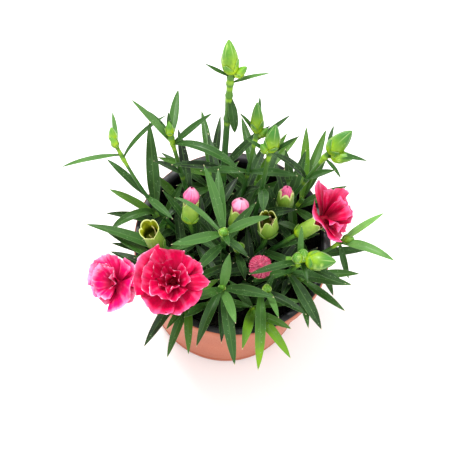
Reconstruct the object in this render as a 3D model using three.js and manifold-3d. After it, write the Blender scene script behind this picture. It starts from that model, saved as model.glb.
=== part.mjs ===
// Dianthus plant standing in its growing pot.
// Millimetres, +Z up, origin at the centre of the pot's flat underside.
// The front of the plant, where leaves hang over the rim, is towards -Y.

import * as THREE from 'three';
import { mergeVertices } from 'three/addons/utils/BufferGeometryUtils.js';
import Module from 'manifold-3d';

const wasm = await Module();
wasm.setup();

// ---------------------------------------------------------------- driving dimensions

const POT_HEIGHT = 92;
const POT_RIM_RADIUS = 60;          // over the lip
const POT_LIP_HEIGHT = 8;
const POT_LIP_WIDTH = 4.5;
const POT_BASE_RADIUS = 46;
const POT_WALL = 1.6;
const POT_FLOOR = 2.4;
const POT_FOOT_WIDTH = 6;           // ring that the pot stands on
const POT_HUB_RADIUS = 26;          // flat middle of the underside, level with the foot
const POT_RECESS = 2.4;             // depth of the channel between foot and hub
const POT_SEGMENTS = 28;
const POT_BEVEL = 1;                // on the lip's edges
const DRAIN_HOLES = 6;
const DRAIN_RADIUS = 3.5;

const GAP = 0.3;                    // running gap between neighbouring solids
const FINE = 0.18;                  // slivers smaller than this are merged away
const SOIL_TOP = 77;
const SOIL_LUMP = 1.1;              // height of the soil's relief
const ROOT_DEPTH = 9;               // how far a stem stands in its hole
const LEAN_HEIGHT = 80;             // stems stand upright up to here, then lean
const STEM_SIDES = 5;
const STEM_TAPER = 0.85;            // girth at the top over that at the root
const NODE_SWELL = 1.35;            // girth of a swollen joint over that of the stem
const JOINT_SPACING = 0.3;          // joints further apart than this get a ring between them

const LEAF_THICKNESS = 1.0;
const LEAF_KEEL = 0.65;             // share of the thickness that lies under the midrib's line
const LEAF_ROOT_WIDTH = 0.42;       // width at the root over the full width
const LEAF_WIDENED = 0.4;           // place along the blade where it is at its widest
const LEAF_TAPERS = 0.45;           // place where the taper to the tip starts
const LEAF_TAPER_POWER = 2.2;
const LONG_LEAF = 44;               // longer or more bent blades get one more ring
const LEAF_ROLL = 14;               // most twist of a blade from root to tip, in degrees
const LEAF_FOLD = 0.34;             // rise of the edges over the midrib, per half width
const LEAF_CLEARANCE = 2.4;         // between sample points of two blades
const STEM_CLEARANCE = 1.7;         // from a blade's sample point to a stem or bud
const SAMPLE_STEP = 2.4;
const POT_CLEARANCE = 2.2;          // from a blade's line to the pot and its lip
const SOIL_CLEARANCE = 3;

const PETAL_THICKNESS = 0.75;
const PETAL_CLEARANCE = 2.6;
const CORE_RADIUS = 2.6;
const CLAW_WIDTH = 3;
const PETAL_CORNER = 0.26;          // how far a petal's corners are rounded off, per length
const PETAL_NARROWS = 0.46;         // how much less than its fan a petal widens, at the margin
const PETAL_WAVE = 1.1;             // height of the margin's waves on the outer petals
const OUTER_ROLL = 24;              // radius of the roll across the outermost petals
const INNER_ROLL = 7;
const CALYX_WALL = 0.8;
const CALYX_RECESS = 5;
const CALYX_TEETH = 5;
const CALYX_TAPER = 0.96;           // width at the mouth over the full width
const TOOTH_LENGTH = { calyx: 2.2, spent: 3.4 };
const PETAL_RISE = CALYX_RECESS + TOOTH_LENGTH.calyx + 1;   // petals leave the core above the teeth
const SLENDER_BUD = 6;              // buds narrower than this are drawn with fewer faces

const COLOURS = {
  terracotta: 0xd5805f,
  soil: 0x241d18,
  leaf: 0x3f7a3c,
  shoot: 0x4f8f45,
  petal: 0xe6145a,
  budTip: 0xff8fbe,
};

// ---------------------------------------------------------------- layout
//
// path:   where the stem, upright out of its hole, starts to lean; the point it bends towards; its top
// leaves: [place along the stem, turn, rise, length, width, droop], in degrees and millimetres.
//         Turn is the compass direction from +X, rise the angle at the root, droop the bend
//         down to the tip.
// heads:  [place along the stem, turn, rise, stalk, length, width, kind]

const STEMS = [
  { name: 'stem_tall_back', girth: 4.2, path: [[-9, 4, LEAN_HEIGHT], [-13, 34, 147], [-16, 54, 210]],
    leaves: [
      [0.97, 181, 46, 20, 2.4, 16], [0.93, 10, 42, 26, 2.4, 22],
      [0.86, 303, -51, 30, 5.5, 31], [0.72, 105, 62, 22, 4, 8],
      [0.42, 20, 48, 40, 5.5, 26], [0.42, 200, 45, 38, 5.5, 26],
      [0.2, 110, 30, 46, 6, 30], [0.2, 290, 48, 34, 5.5, 22],
      [0.08, 35, 34, 34, 5.4, 26]],
    heads: [[1, 112, 64, 0, 23, 9.4, 'bud'], [0.95, 20, 58, 6, 10.5, 5.2, 'bud']] },

  { name: 'stem_back_bud', girth: 2.8, path: [[0, 10, LEAN_HEIGHT], [2, 26, 128], [4, 40, 168]],
    leaves: [
      [0.95, 92, 12, 26, 3, 22], [0.95, 156, 55, 20, 2.4, 14], [0.9, 42, 32, 26, 3, 20],
      [0.6, 165, 40, 34, 5, 24], [0.6, 345, 42, 34, 5, 24], [0.3, 75, 35, 42, 6, 28]],
    heads: [[1, 106, 62, 0, 21, 7.2, 'bud'], [0.92, 20, 62, 5, 9, 4.4, 'bud']] },

  { name: 'stem_back_second', girth: 2.8, path: [[9, 3, LEAN_HEIGHT], [12, 15, 128], [13, 30, 167]],
    leaves: [
      [0.97, 177, 48, 22, 2.6, 15], [0.95, 24, 50, 24, 2.8, 16],
      [0.62, 92, 20, 34, 6, 26], [0.62, 275, 50, 30, 6, 22], [0.3, 350, 50, 30, 6, 26]],
    heads: [[1, 84, 64, 0, 19, 8.8, 'bud'], [0.94, 170, 66, 5, 9, 4.6, 'bud']] },

  { name: 'stem_right_back', girth: 2.8, path: [[20, 12, LEAN_HEIGHT], [32, 28, 119], [48, 42, 152]],
    leaves: [
      [0.97, 88, 20, 18, 2.6, 17], [0.94, 347, 42, 29, 3.4, 20], [0.92, 318, 4, 16, 2.4, 20],
      [0.66, 165, 64, 30, 5, 60], [0.66, 345, 40, 26, 4.6, 22],
      [0.35, 80, 42, 36, 6, 26]],
    heads: [[1, 39, 48, 0, 20, 10.4, 'bud'], [0.93, 355, 30, 5, 15, 7, 'bud']] },

  { name: 'stem_far_left', girth: 2.4, path: [[-25, 1, LEAN_HEIGHT], [-52, 3, 111], [-78, 27, 152]],
    leaves: [
      [0.96, 105, 4, 24, 3, 20], [0.9, 200, 24, 38, 3, 62], [0.87, 50, 76, 42, 2.6, 100],
      [0.55, 150, 30, 34, 5, 24], [0.55, 320, 30, 24, 4.5, 20]],
    heads: [[1, 120, 66, 0, 11, 4.6, 'bud'], [0.93, 150, 62, 4, 9, 4.2, 'bud']] },

  { name: 'stem_left_back', girth: 2.8, path: [[-22, 9, LEAN_HEIGHT], [-34, 20, 123], [-46, 34, 158]],
    leaves: [
      [0.9, 157, 52, 40, 4.6, 22], [0.9, 31, 56, 35, 4.4, 18], [0.95, 92, 16, 32, 5.4, 22],
      [0.98, 110, 66, 18, 3, 8],
      [0.97, 138, 19, 22, 4, 16], [0.6, 198, 62, 30, 4.6, 16], [0.9, 345, 55, 50, 5.6, 110],
      [0.3, 110, 34, 46, 6, 28],
      [0.14, 60, 44, 34, 5.4, 24]],
    heads: [[1, 110, 64, 0, 10, 4.6, 'bud']] },

  { name: 'stem_centre', girth: 3, path: [[-4, -5, LEAN_HEIGHT], [-6, -12, 122], [-6, -22, 158]],
    leaves: [
      [0.96, 105, 28, 38, 6.4, 24], [0.94, 118, 40, 42, 5.6, 26], [0.96, 10, 58, 37, 6.2, 20],
      [0.96, 211, 32, 35, 6.2, 24], [0.99, 290, 44, 15, 3.6, 12],
      [0.85, 134, 5, 49, 3.2, 61], [0.72, 322, 34, 22, 5, 26],
      [0.42, 60, 34, 36, 6, 26], [0.42, 240, 32, 30, 6, 26],
      [0.16, 150, 52, 30, 5.4, 24]],
    heads: [[1, 270, 76, 0, 6, 4.8, 'bud']] },

  { name: 'stem_spent_left', girth: 3, path: [[-21, -8, LEAN_HEIGHT], [-34, -16, 92], [-43, -19, 113]],
    leaves: [
      [0.45, 176, 32, 60, 7, 34], [0.75, 215, 44, 26, 4.6, 26],
      [0.75, 10, 50, 26, 4.6, 24], [0.25, 250, 40, 24, 5, 24],
      [0.3, 110, 48, 34, 5.6, 24], [0.1, 20, 46, 28, 5, 24]],
    heads: [[1, 170, 72, 0, 21, 10.4, 'spent']] },

  { name: 'stem_bud_left', girth: 2.8, path: [[-14, 2, LEAN_HEIGHT], [-25, -5, 98], [-27, -2, 118]],
    leaves: [
      [0.6, 144, 46, 34, 4.4, 22], [0.6, 320, 40, 26, 4.6, 22],
      [0.3, 60, 52, 30, 5, 24], [0.3, 235, 36, 28, 5, 24],
      [0.1, 130, 50, 32, 5.4, 24], [0.1, 190, 46, 28, 5, 24]],
    heads: [[1, 98, 56, 0, 16, 9.6, 'calyx']] },

  { name: 'stem_bud_mid', girth: 2.8, path: [[2, 1, LEAN_HEIGHT], [-1, -3, 99], [1, 1, 114]],
    leaves: [
      [0.55, 78, 48, 42, 5.4, 26], [0.55, 258, 40, 24, 5, 22],
      [0.12, 100, 56, 32, 5.4, 22], [0.12, 200, 40, 26, 5, 24]],
    heads: [[1, 90, 64, 0, 16, 10.4, 'calyx']] },

  { name: 'stem_bud_right', girth: 2.6, path: [[14, 11, LEAN_HEIGHT], [23, 15, 96], [27, 19, 112]],
    leaves: [
      [0.5, 131, 72, 32, 6.2, 20], [0.5, 315, 40, 28, 5, 24], [0.25, 55, 46, 40, 6, 28]],
    heads: [[1, 90, 72, 0, 15.5, 10, 'calyx']] },

  { name: 'stem_bud_front', girth: 2.8, path: [[11, -12, LEAN_HEIGHT], [16, -19, 96], [18, -21, 108]],
    leaves: [
      [0.55, 200, 26, 26, 5, 24], [0.3, 120, 46, 28, 5, 24]],
    heads: [[1, 275, 74, 0, 13, 11, 'calyx']] },

  { name: 'stem_spent_right', girth: 3, path: [[10, -4, LEAN_HEIGHT], [18, -7, 96], [19.9, 0.4, 114]],
    leaves: [
      [0.5, 355, 34, 34, 5.4, 26], [0.5, 120, 62, 30, 5, 20], [0.25, 60, 50, 32, 5, 24]],
    heads: [[1, 125, 78, 0, 18, 12, 'spent']] },

  { name: 'stem_bloom_front', girth: 3.2, path: [[-14, -14, LEAN_HEIGHT], [-24, -33, 92], [-26.5, -41, 104]],
    leaves: [
      [0.5, 244, 6, 50, 6.4, 50], [0.5, 20, 44, 34, 5.4, 24], [0.25, 160, 34, 26, 5, 24]],
    heads: [[1, 215, 76, 0, 16, 8.6, 'calyx']] },

  { name: 'stem_bloom_left', girth: 3, path: [[-26, -14, LEAN_HEIGHT], [-40, -29, 100], [-51.5, -43, 102]],
    leaves: [
      [0.5, 150, 24, 34, 6, 28], [0.5, 300, 10, 26, 5, 36]],
    heads: [[1, 196, 44, 0, 15, 8.6, 'calyx']] },

  { name: 'stem_bloom_right', girth: 3, path: [[17, -4, LEAN_HEIGHT], [25, -4, 104], [37, 3, 112]],
    leaves: [
      [0.45, 18, 50, 32, 5, 50], [0.45, 275, 40, 24, 5, 24]],
    heads: [[1, 28, 36, 0, 17, 8.8, 'calyx']] },

  { name: 'stem_far_right', girth: 2.4, path: [[25, -5, LEAN_HEIGHT], [46, -11, 98], [65.5, 5.5, 110]],
    leaves: [
      [0.96, 45, 56, 37, 4.4, 14], [0.94, 342, 46, 39, 5.8, 50], [0.94, 298, -20, 24, 4, 30],
      [0.6, 15, 20, 34, 5.4, 30], [0.6, 300, 26, 30, 5.4, 30]],
    heads: [[1, 350, 50, 0, 9, 5, 'bud']] },

  { name: 'stem_cluster', girth: 3, path: [[19, -14, LEAN_HEIGHT], [35, -22, 98], [42, -18, 126]],
    leaves: [
      [0.97, 207, 34, 38, 4.4, 26], [0.95, 98, 44, 22, 3.6, 16], [0.97, 290, 20, 15, 3, 15],
      [0.95, 344, 6, 30, 5, 22],
      [0.62, 352, 26, 40, 6.8, 28], [0.62, 312, 4, 41, 7, 46], [0.62, 182, -6, 34, 6, 24],
      [0.3, 60, 40, 32, 6, 28]],
    heads: [[1, 357, 22, 3, 18, 11, 'bud'], [1, 100, 74, 1, 9, 7, 'bud'],
      [0.98, 215, 66, 6, 8, 6, 'bud'], [0.82, 165, 50, 4, 7, 4.6, 'bud']] },

  { name: 'stem_front_bud', girth: 2.4, path: [[10, -20, LEAN_HEIGHT], [22, -32, 96], [24, -36, 116]],
    leaves: [
      [0.96, 293, 46, 31, 4, 18], [0.96, 113, 50, 12, 3, 10],
      [0.6, 278, 14, 50, 6.6, 60], [0.6, 350, 22, 32, 5.4, 34]],
    heads: [[1, 280, 76, 0, 6, 4.6, 'bud']] },

  { name: 'stem_front_rosette', girth: 3, path: [[-2, -16, LEAN_HEIGHT], [-2, -32, 94], [-2, -38, 111]],
    leaves: [
      [0.98, 222, 44, 27, 5.6, 18], [0.96, 344, 46, 39, 6.6, 22], [0.98, 295, 36, 31, 5.8, 20],
      [0.98, 85, 60, 25, 6, 14], [0.99, 250, 60, 12, 4, 10],
      [0.6, 288, 20, 51, 7, 64], [0.6, 255, 22, 42, 6, 62], [0.35, 269, 26, 42, 5.4, 62],
      [0.6, 130, 14, 32, 6, 26]],
    heads: [[1, 270, 78, 0, 5, 3.6, 'bud']] },

  { name: 'stem_little_ball', girth: 2.2, path: [[3, -10, LEAN_HEIGHT], [4, -12, 96], [4, -9, 106]],
    leaves: [[0.7, 130, 40, 22, 4.6, 22], [0.7, 318, 36, 26, 5, 24]],
    heads: [[1, 300, 80, 0, 6, 6, 'bud']] },

  { name: 'shoot_left', girth: 2.8, path: [[-31, 2, LEAN_HEIGHT], [-42, 5, 87], [-50, 9, 96]],
    leaves: [
      [0.92, 105, 52, 60, 7.8, 24], [0.92, 163, 26, 33, 5, 24], [0.95, 212, 84, 42, 5.4, 165],
      [0.6, 180, 32, 38, 5, 28], [0.6, 70, 58, 30, 5.4, 20], [0.6, 250, 50, 26, 5, 20]],
    heads: [] },

  { name: 'shoot_left_front', girth: 2.6, path: [[-34, -10, LEAN_HEIGHT], [-40, -17, 88], [-43, -23, 98]],
    leaves: [
      [0.9, 172, 24, 40, 5.6, 30], [0.9, 262, 22, 34, 5, 44], [0.6, 200, 32, 34, 5, 28],
      [0.6, 110, 46, 26, 5, 22]],
    heads: [] },

  { name: 'shoot_front_left', girth: 2.8, path: [[-13, -28, LEAN_HEIGHT], [-18, -38, 86], [-21, -44, 94]],
    leaves: [
      [0.9, 258, 8, 38, 5.4, 50], [0.9, 290, 24, 34, 5, 52], [0.6, 215, 22, 34, 5, 40],
      [0.6, 40, 50, 24, 5, 22]],
    heads: [] },

  { name: 'shoot_front_right', girth: 2.8, path: [[13, -30, LEAN_HEIGHT], [18, -38, 86], [20, -44, 93]],
    leaves: [
      [0.92, 306, 20, 37, 6, 52], [0.9, 338, 34, 26, 5.2, 36], [0.6, 256, 22, 36, 6, 46],
      [0.6, 10, 36, 32, 5.2, 30], [0.6, 140, 44, 24, 5, 22]],
    heads: [] },

  { name: 'shoot_right', girth: 2.8, path: [[33, -14, LEAN_HEIGHT], [41, -17, 88], [45, -19, 98]],
    leaves: [
      [0.9, 328, 22, 34, 5.2, 30], [0.9, 12, 26, 36, 5.6, 30], [0.6, 50, 36, 30, 5, 28],
      [0.6, 290, 28, 34, 5.2, 44]],
    heads: [] },

  { name: 'shoot_back_right', girth: 2.8, path: [[26, 20, LEAN_HEIGHT], [34, 28, 88], [38, 33, 98]],
    leaves: [
      [0.92, 96, 36, 46, 6, 26], [0.92, 80, 22, 50, 6, 32], [0.92, 70, 4, 38, 5, 26],
      [0.6, 30, 30, 36, 5.6, 28], [0.6, 110, 40, 38, 6, 24], [0.6, 320, 40, 30, 5.4, 26],
      [0.3, 200, 50, 26, 5, 22]],
    heads: [] },

  { name: 'shoot_back', girth: 2.8, path: [[5, 24, LEAN_HEIGHT], [8, 34, 88], [9, 40, 97]],
    leaves: [
      [0.92, 110, 16, 46, 6, 30], [0.92, 60, 58, 40, 6, 22], [0.92, 58, 22, 40, 5, 26],
      [0.6, 20, 44, 32, 6, 26], [0.6, 160, 42, 34, 6, 26]],
    heads: [] },

  { name: 'shoot_back_left', girth: 2.8, path: [[-17, 22, LEAN_HEIGHT], [-19, 33, 88], [-20, 40, 98]],
    leaves: [
      [0.92, 106, 18, 44, 5.2, 28], [0.92, 178, 32, 36, 5.6, 24],
      [0.6, 90, 22, 46, 5, 32], [0.6, 155, 22, 38, 5, 30], [0.6, 235, 40, 28, 5, 24]],
    heads: [] },
];

// Short leafy shoots that close the crown between the stems above, placed by a rule.
const CROWN_TURNS = [20, 76, 118, 148, 258];
const CROWN_RADIUS = 33;
const CROWN_SEED = 11;

// Blooms and pink bud tips, each held in the open calyx at the top of its stem.
// petals: [height up the core in layers, turn, spread from the axis, length, opening of the fan,
//          cupping back towards the axis]
const LAYER_STEP = 1.8;
const CORE_LAYERS = 3;
const BLOOMS = [
  { name: 'bloom_front', stem: 'stem_bloom_front', seed: 7,
    petals: [
      [0, 256, 80, 26, 100, 45], [0.3, 210, 76, 22, 96, 45], [0.2, 166, 76, 19, 80, 20],
      [0, 132, 92, 19, 56, 10], [0.5, 94, 82, 22, 36, 0], [0, 38, 82, 22, 90, 30],
      [0, 330, 84, 22.5, 92, 30], [1, 276, 66, 22, 80, 45], [1.4, 224, 54, 18, 72, 60],
      [1.2, 326, 52, 18, 74, 10], [1.3, 28, 62, 16, 70, 30], [1.5, 116, 50, 15, 74, 15],
      [2.2, 262, 40, 14, 66, 70], [2.2, 4, 40, 13, 66, 40], [2.5, 140, 30, 12.5, 66, 30],
      [3, 230, 8, 9.5, 60, 30]] },
  { name: 'bloom_left', stem: 'stem_bloom_left', seed: 15,
    petals: [
      [0, 218, 70, 20, 84, 18], [0.2, 254, 66, 16, 86, 15], [0.3, 182, 74, 18.5, 84, 25],
      [0, 140, 80, 15.5, 88, 15], [0.3, 104, 108, 15, 96, 10], [0.2, 300, 76, 13.5, 96, 20],
      [0, 30, 84, 18.5, 100, 10], [0.1, 66, 110, 13, 84, 0], [1, 206, 46, 15, 76, 10],
      [1.2, 244, 48, 13, 70, 10], [1.3, 136, 40, 14, 66, 10], [1.1, 320, 56, 13, 76, 10],
      [1.8, 80, 40, 12.5, 70, 5], [1, 42, 112, 16, 66, 0]] },
  { name: 'bloom_right', stem: 'stem_bloom_right', seed: 23,
    petals: [
      [0, 4, 76, 24, 60, 10], [1, 330, 42, 22, 54, 10], [0.6, 296, 56, 19, 60, 15],
      [1, 274, 42, 18, 74, 20], [0.4, 236, 66, 15, 80, 15], [0, 120, 84, 15, 124, 0],
      [0.3, 200, 84, 15, 80, 10], [1.4, 158, 56, 14, 46, 0], [2, 262, 24, 15, 60, 10],
      [2, 352, 22, 15, 50, 5], [1, 344, 64, 18.5, 54, 15]] },
];
const BUD_TIPS = [
  { name: 'bud_tip_left', stem: 'stem_bud_left', reach: 8.4, bulge: 1.38, frill: 0.12 },
  { name: 'bud_tip_mid', stem: 'stem_bud_mid', reach: 6.5, bulge: 1.34, frill: 0.12 },
  { name: 'bud_tip_right', stem: 'stem_bud_right', reach: 3.6, bulge: 0.72, frill: 0.12 },
  { name: 'bud_tip_front', stem: 'stem_bud_front', reach: 7.6, bulge: 1.66, frill: 0.26 },
];

// ---------------------------------------------------------------- small sums

const radians = (degrees) => degrees * Math.PI / 180;
const plus = (a, b) => [a[0] + b[0], a[1] + b[1], a[2] + b[2]];
const times = (a, k) => [a[0] * k, a[1] * k, a[2] * k];
const minus = (a, b) => [a[0] - b[0], a[1] - b[1], a[2] - b[2]];
const dot = (a, b) => a[0] * b[0] + a[1] * b[1] + a[2] * b[2];
const cross = (a, b) => [
  a[1] * b[2] - a[2] * b[1],
  a[2] * b[0] - a[0] * b[2],
  a[0] * b[1] - a[1] * b[0],
];
const unit = (a) => times(a, 1 / Math.sqrt(dot(a, a)));
const mix = (a, b, f) => a + (b - a) * f;

function smooth(x) {
  const f = Math.min(Math.max(x, 0), 1);
  return f * f * (3 - 2 * f);
}

/** Compass turn and rise over the horizon, in degrees, as a direction. */
function heading(turn, rise) {
  const flat = Math.cos(radians(rise));
  return [flat * Math.cos(radians(turn)), flat * Math.sin(radians(turn)), Math.sin(radians(rise))];
}

/** Three unit vectors with `along` as the third. */
function axes(along) {
  const helper = Math.abs(along[2]) > 0.9 ? [1, 0, 0] : [0, 0, 1];
  const across = unit(cross(helper, along));
  return [across, cross(along, across), along];
}

/** Repeatable draws between 0 and 1. */
function draws(seed) {
  let state = seed >>> 0;
  return () => {
    state = (state + 0x6d2b79f5) >>> 0;
    let word = Math.imul(state ^ (state >>> 15), state | 1);
    word ^= word + Math.imul(word ^ (word >>> 7), word | 61);
    return ((word ^ (word >>> 14)) >>> 0) / 4294967296;
  };
}

// ---------------------------------------------------------------- closed bodies

/** A closed body from points and outward-facing triangles. */
function solid(points, triangles) {
  const mesh = new wasm.Mesh({
    numProp: 3,
    vertProperties: new Float32Array(points.flat()),
    triVerts: new Uint32Array(triangles.flat()),
  });
  return new wasm.Manifold(mesh);
}

/** A skin over rings of equally many points, closed by a fan at each end. */
function ringBody(rings, startPoint, endPoint) {
  const sides = rings[0].length;
  const points = [...rings.flat(), startPoint, endPoint];
  const start = points.length - 2;
  const end = points.length - 1;
  const last = (rings.length - 1) * sides;
  const triangles = [];
  for (let k = 0; k < sides; k += 1) {
    const next = (k + 1) % sides;
    triangles.push([start, next, k]);
    for (let row = 0; row < rings.length - 1; row += 1) {
      const low = row * sides;
      const high = low + sides;
      triangles.push([low + k, low + next, high + next]);
      triangles.push([low + k, high + next, high + k]);
    }
    triangles.push([last + k, last + next, end]);
  }
  return solid(points, triangles);
}

/** A ring of points round `centre`; radius and height may vary round the ring. */
function ring(centre, frame, sides, radius, height = () => 0, start = 0) {
  const points = [];
  for (let k = 0; k < sides; k += 1) {
    const angle = start + 2 * Math.PI * k / sides;
    const reach = radius(k, angle);
    const flat = plus(times(frame[0], reach * Math.cos(angle)), times(frame[1], reach * Math.sin(angle)));
    points.push(plus(plus(centre, flat), times(frame[2], height(k, angle))));
  }
  return points;
}

/** A body turned round the Z axis from a closed profile of [radius, height] points. */
function turned(profile, segments) {
  const outline = [...profile, profile[0]].map(([r, z]) => new THREE.Vector2(r, z));
  const lathe = new THREE.LatheGeometry(outline, segments);
  lathe.rotateX(Math.PI / 2);
  lathe.deleteAttribute('normal');
  lathe.deleteAttribute('uv');
  const merged = mergeVertices(lathe, 1e-4);
  const index = merged.index.array;
  const triangles = [];
  for (let k = 0; k < index.length; k += 3) {
    const [a, b, c] = [index[k], index[k + 1], index[k + 2]];
    if (a !== b && b !== c && c !== a) {
      triangles.push([a, b, c]);
    }
  }
  const position = merged.attributes.position;
  const points = [];
  for (let k = 0; k < position.count; k += 1) {
    points.push([position.getX(k), position.getY(k), position.getZ(k)]);
  }
  const body = solid(points, triangles);
  return body.volume() > 0 ? body : solid(points, triangles.map(([a, b, c]) => [a, c, b]));
}

function union(bodies) {
  return bodies.reduce((whole, body) => whole.add(body));
}

// ---------------------------------------------------------------- stems

function alongPath(path, f) {
  const [root, bend, top] = path;
  const g = 1 - f;
  return plus(plus(times(root, g * g), times(bend, 2 * f * g)), times(top, f * f));
}

function pathHeading(path, f) {
  const [root, bend, top] = path;
  return unit(plus(times(minus(bend, root), 1 - f), times(minus(top, bend), f)));
}

/** The stem with a swollen joint at each pair of leaves, standing in its hole. */
function stemBody(stem) {
  const joints = [...new Set(stem.leaves.map((leaf) => leaf[0]))].filter((f) => f < 0.9);
  const places = [0, ...joints, 1].sort((a, b) => a - b);
  const radius = stem.girth / 2;
  const buried = [stem.path[0][0], stem.path[0][1], SOIL_TOP - ROOT_DEPTH];
  const upright = axes([0, 0, 1]);
  const rings = [ring(buried, upright, STEM_SIDES, () => radius)];
  places.forEach((f, index) => {
    const swollen = joints.includes(f) ? NODE_SWELL : 1;
    rings.push(stemRing(stem, f, radius * swollen * mix(1, STEM_TAPER, f)));
    const next = places[index + 1];
    if (next !== undefined && next - f > JOINT_SPACING) {
      const between = (f + next) / 2;
      rings.push(stemRing(stem, between, radius * mix(1, STEM_TAPER, between)));
    }
  });
  return ringBody(rings, buried, alongPath(stem.path, 1));
}

/** A ring across the stem, turned as little as can be from one place to the next. */
function stemRing(stem, f, radius) {
  const along = pathHeading(stem.path, f);
  const across = unit(cross([0, 1, 0], along));
  const frame = [across, cross(along, across), along];
  return ring(alongPath(stem.path, f), frame, STEM_SIDES, () => radius);
}

// ---------------------------------------------------------------- leaves

/** Half width of a blade at `s` along it: a narrow root, a long even middle, a tapered tip. */
function bladeHalfWidth(width, s) {
  const widen = mix(LEAF_ROOT_WIDTH, 1, smooth(s / LEAF_WIDENED));
  const taper = s < LEAF_TAPERS ? 1 : 1 - ((s - LEAF_TAPERS) / (1 - LEAF_TAPERS)) ** LEAF_TAPER_POWER;
  return 0.5 * width * widen * taper;
}

/** Centre, side and normal of a blade at `s` along it. */
function bladeFrame(base, leaf, s) {
  const start = radians(leaf.rise);
  const bend = radians(leaf.droop);
  const angle = start - bend * s;
  const out = leaf.length * (Math.sin(start) - Math.sin(angle)) / bend;
  const up = leaf.length * (Math.cos(angle) - Math.cos(start)) / bend;
  const turn = radians(leaf.turn);
  const flat = [Math.cos(turn), Math.sin(turn), 0];
  const side = [-Math.sin(turn), Math.cos(turn), 0];
  const normal = plus(times(flat, -Math.sin(angle)), [0, 0, Math.cos(angle)]);
  const roll = radians(leaf.roll) * s;
  return {
    centre: plus(plus(base, times(flat, out)), [0, 0, up]),
    side: plus(times(side, Math.cos(roll)), times(normal, Math.sin(roll))),
    normal: plus(times(normal, Math.cos(roll)), times(side, -Math.sin(roll))),
  };
}

/** A channelled blade: two edges, the channel above and the keel below, drawn to a point. */
function bladeBody(base, leaf) {
  const long = leaf.length > LONG_LEAF || leaf.droop > LONG_LEAF;
  const stations = long ? [0, 0.25, 0.55, 0.82] : [0, 0.34, 0.74];
  const rings = stations.map((s) => {
    const { centre, side, normal } = bladeFrame(base, leaf, s);
    const half = bladeHalfWidth(leaf.width, s);
    const lift = times(normal, LEAF_FOLD * half);
    return [
      plus(plus(centre, times(side, half)), lift),
      plus(centre, times(normal, (1 - LEAF_KEEL) * LEAF_THICKNESS)),
      plus(minus(centre, times(side, half)), lift),
      minus(centre, times(normal, LEAF_KEEL * LEAF_THICKNESS)),
    ];
  });
  const tip = bladeFrame(base, leaf, 1).centre;
  const root = bladeFrame(base, leaf, 0).centre;
  return ringBody(rings, root, tip);
}

/** Points spread over a blade, from just outside its stem to its tip. */
function bladeSamples(base, leaf) {
  const points = [];
  const first = Math.min(4 / leaf.length, 0.3);
  const steps = Math.ceil(leaf.length * (1 - first) / SAMPLE_STEP);
  for (let k = 0; k <= steps; k += 1) {
    const s = first + (1 - first) * k / steps;
    const { centre, side } = bladeFrame(base, leaf, s);
    const half = bladeHalfWidth(leaf.width, s) - 0.3;
    points.push(centre);
    if (half > 0.9) {
      points.push(plus(centre, times(side, half)));
      points.push(minus(centre, times(side, half)));
    }
  }
  return points;
}

// ---------------------------------------------------------------- heads: buds and calyces

/** The point and the axes where a head starts. */
function headFrame(stem, head) {
  const [f, turn, rise, stalk] = head;
  const along = heading(turn, rise);
  const root = alongPath(stem.path, f);
  return { root, base: plus(root, times(along, stalk)), frame: axes(along) };
}

function stalkBody(root, base, frame, radius) {
  const low = ring(root, frame, STEM_SIDES, () => radius);
  const high = ring(plus(base, times(frame[2], 1)), frame, STEM_SIDES, () => radius);
  return ringBody([low, high], root, plus(base, times(frame[2], 1.2)));
}

/** A closed bud: pointed bracts round its foot, a ridged body and a pointed tip. */
function budBody(base, frame, length, width) {
  const half = width / 2;
  const slender = width < SLENDER_BUD;
  const sides = slender ? 6 : 8;
  const at = (h) => plus(base, times(frame[2], h * length));
  const bract = (k) => (k % 2 ? 0 : 0.14 * length);
  const rings = [
    ring(at(-0.03), frame, sides, () => half * 0.4),
    ring(at(0.15), frame, sides, () => half * 0.92),
    ring(at(0.3), frame, sides, () => half * 1.04, bract),
    ring(at(0.31), frame, sides, () => half * 0.93, bract),
    ring(at(0.74), frame, sides, (k) => half * (k % 2 ? 0.66 : 0.76)),
  ];
  return ringBody(slender ? [rings[0], rings[2], rings[4]] : rings, at(-0.06), at(1));
}

/** A tubular calyx with bracts round its foot, open at its five-toothed mouth. */
function calyxBody(base, frame, length, width, toothLength) {
  const sides = 2 * CALYX_TEETH;
  const half = width / 2;
  const at = (h) => plus(base, times(frame[2], h));
  const toothed = (k) => (k % 2 ? 0 : toothLength);
  const bract = (k) => (k % 2 ? 0.16 * length : 0);
  const inner = half * CALYX_TAPER - CALYX_WALL;
  const rings = [
    ring(at(-0.4), frame, sides, () => half * 0.42),
    ring(at(0.14 * length), frame, sides, () => half * 0.9),
    ring(at(0.26 * length), frame, sides, () => half * 1.03, bract),
    ring(at(0.27 * length), frame, sides, () => half * 0.94, bract),
    ring(at(length - toothLength), frame, sides, () => half * CALYX_TAPER, toothed),
    ring(at(length - toothLength), frame, sides, () => inner, toothed),
    ring(at(length - toothLength - CALYX_RECESS), frame, sides, () => inner),
  ];
  return ringBody(rings, at(-0.8), at(length - toothLength - CALYX_RECESS));
}

function headBody(stem, head) {
  const [, , , stalk, length, width, kind] = head;
  const { root, base, frame } = headFrame(stem, head);
  const bodies = [];
  if (stalk > 0) {
    bodies.push(stalkBody(root, base, frame, Math.max(0.9, width * 0.16)));
  }
  if (kind === 'bud') {
    bodies.push(budBody(base, frame, length, width));
  } else {
    bodies.push(calyxBody(base, frame, length, width, TOOTH_LENGTH[kind]));
  }
  return union(bodies);
}

/** Spheres along a head, for keeping other leaves clear of it. */
function headSamples(stem, head) {
  const [, , , stalk, length, width] = head;
  const { root, frame } = headFrame(stem, head);
  const samples = [];
  for (let h = 0; h <= stalk + length; h += 2) {
    const radius = h < stalk ? 1.2 : width / 2;
    samples.push({ point: plus(root, times(frame[2], h)), radius });
  }
  return samples;
}

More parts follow.
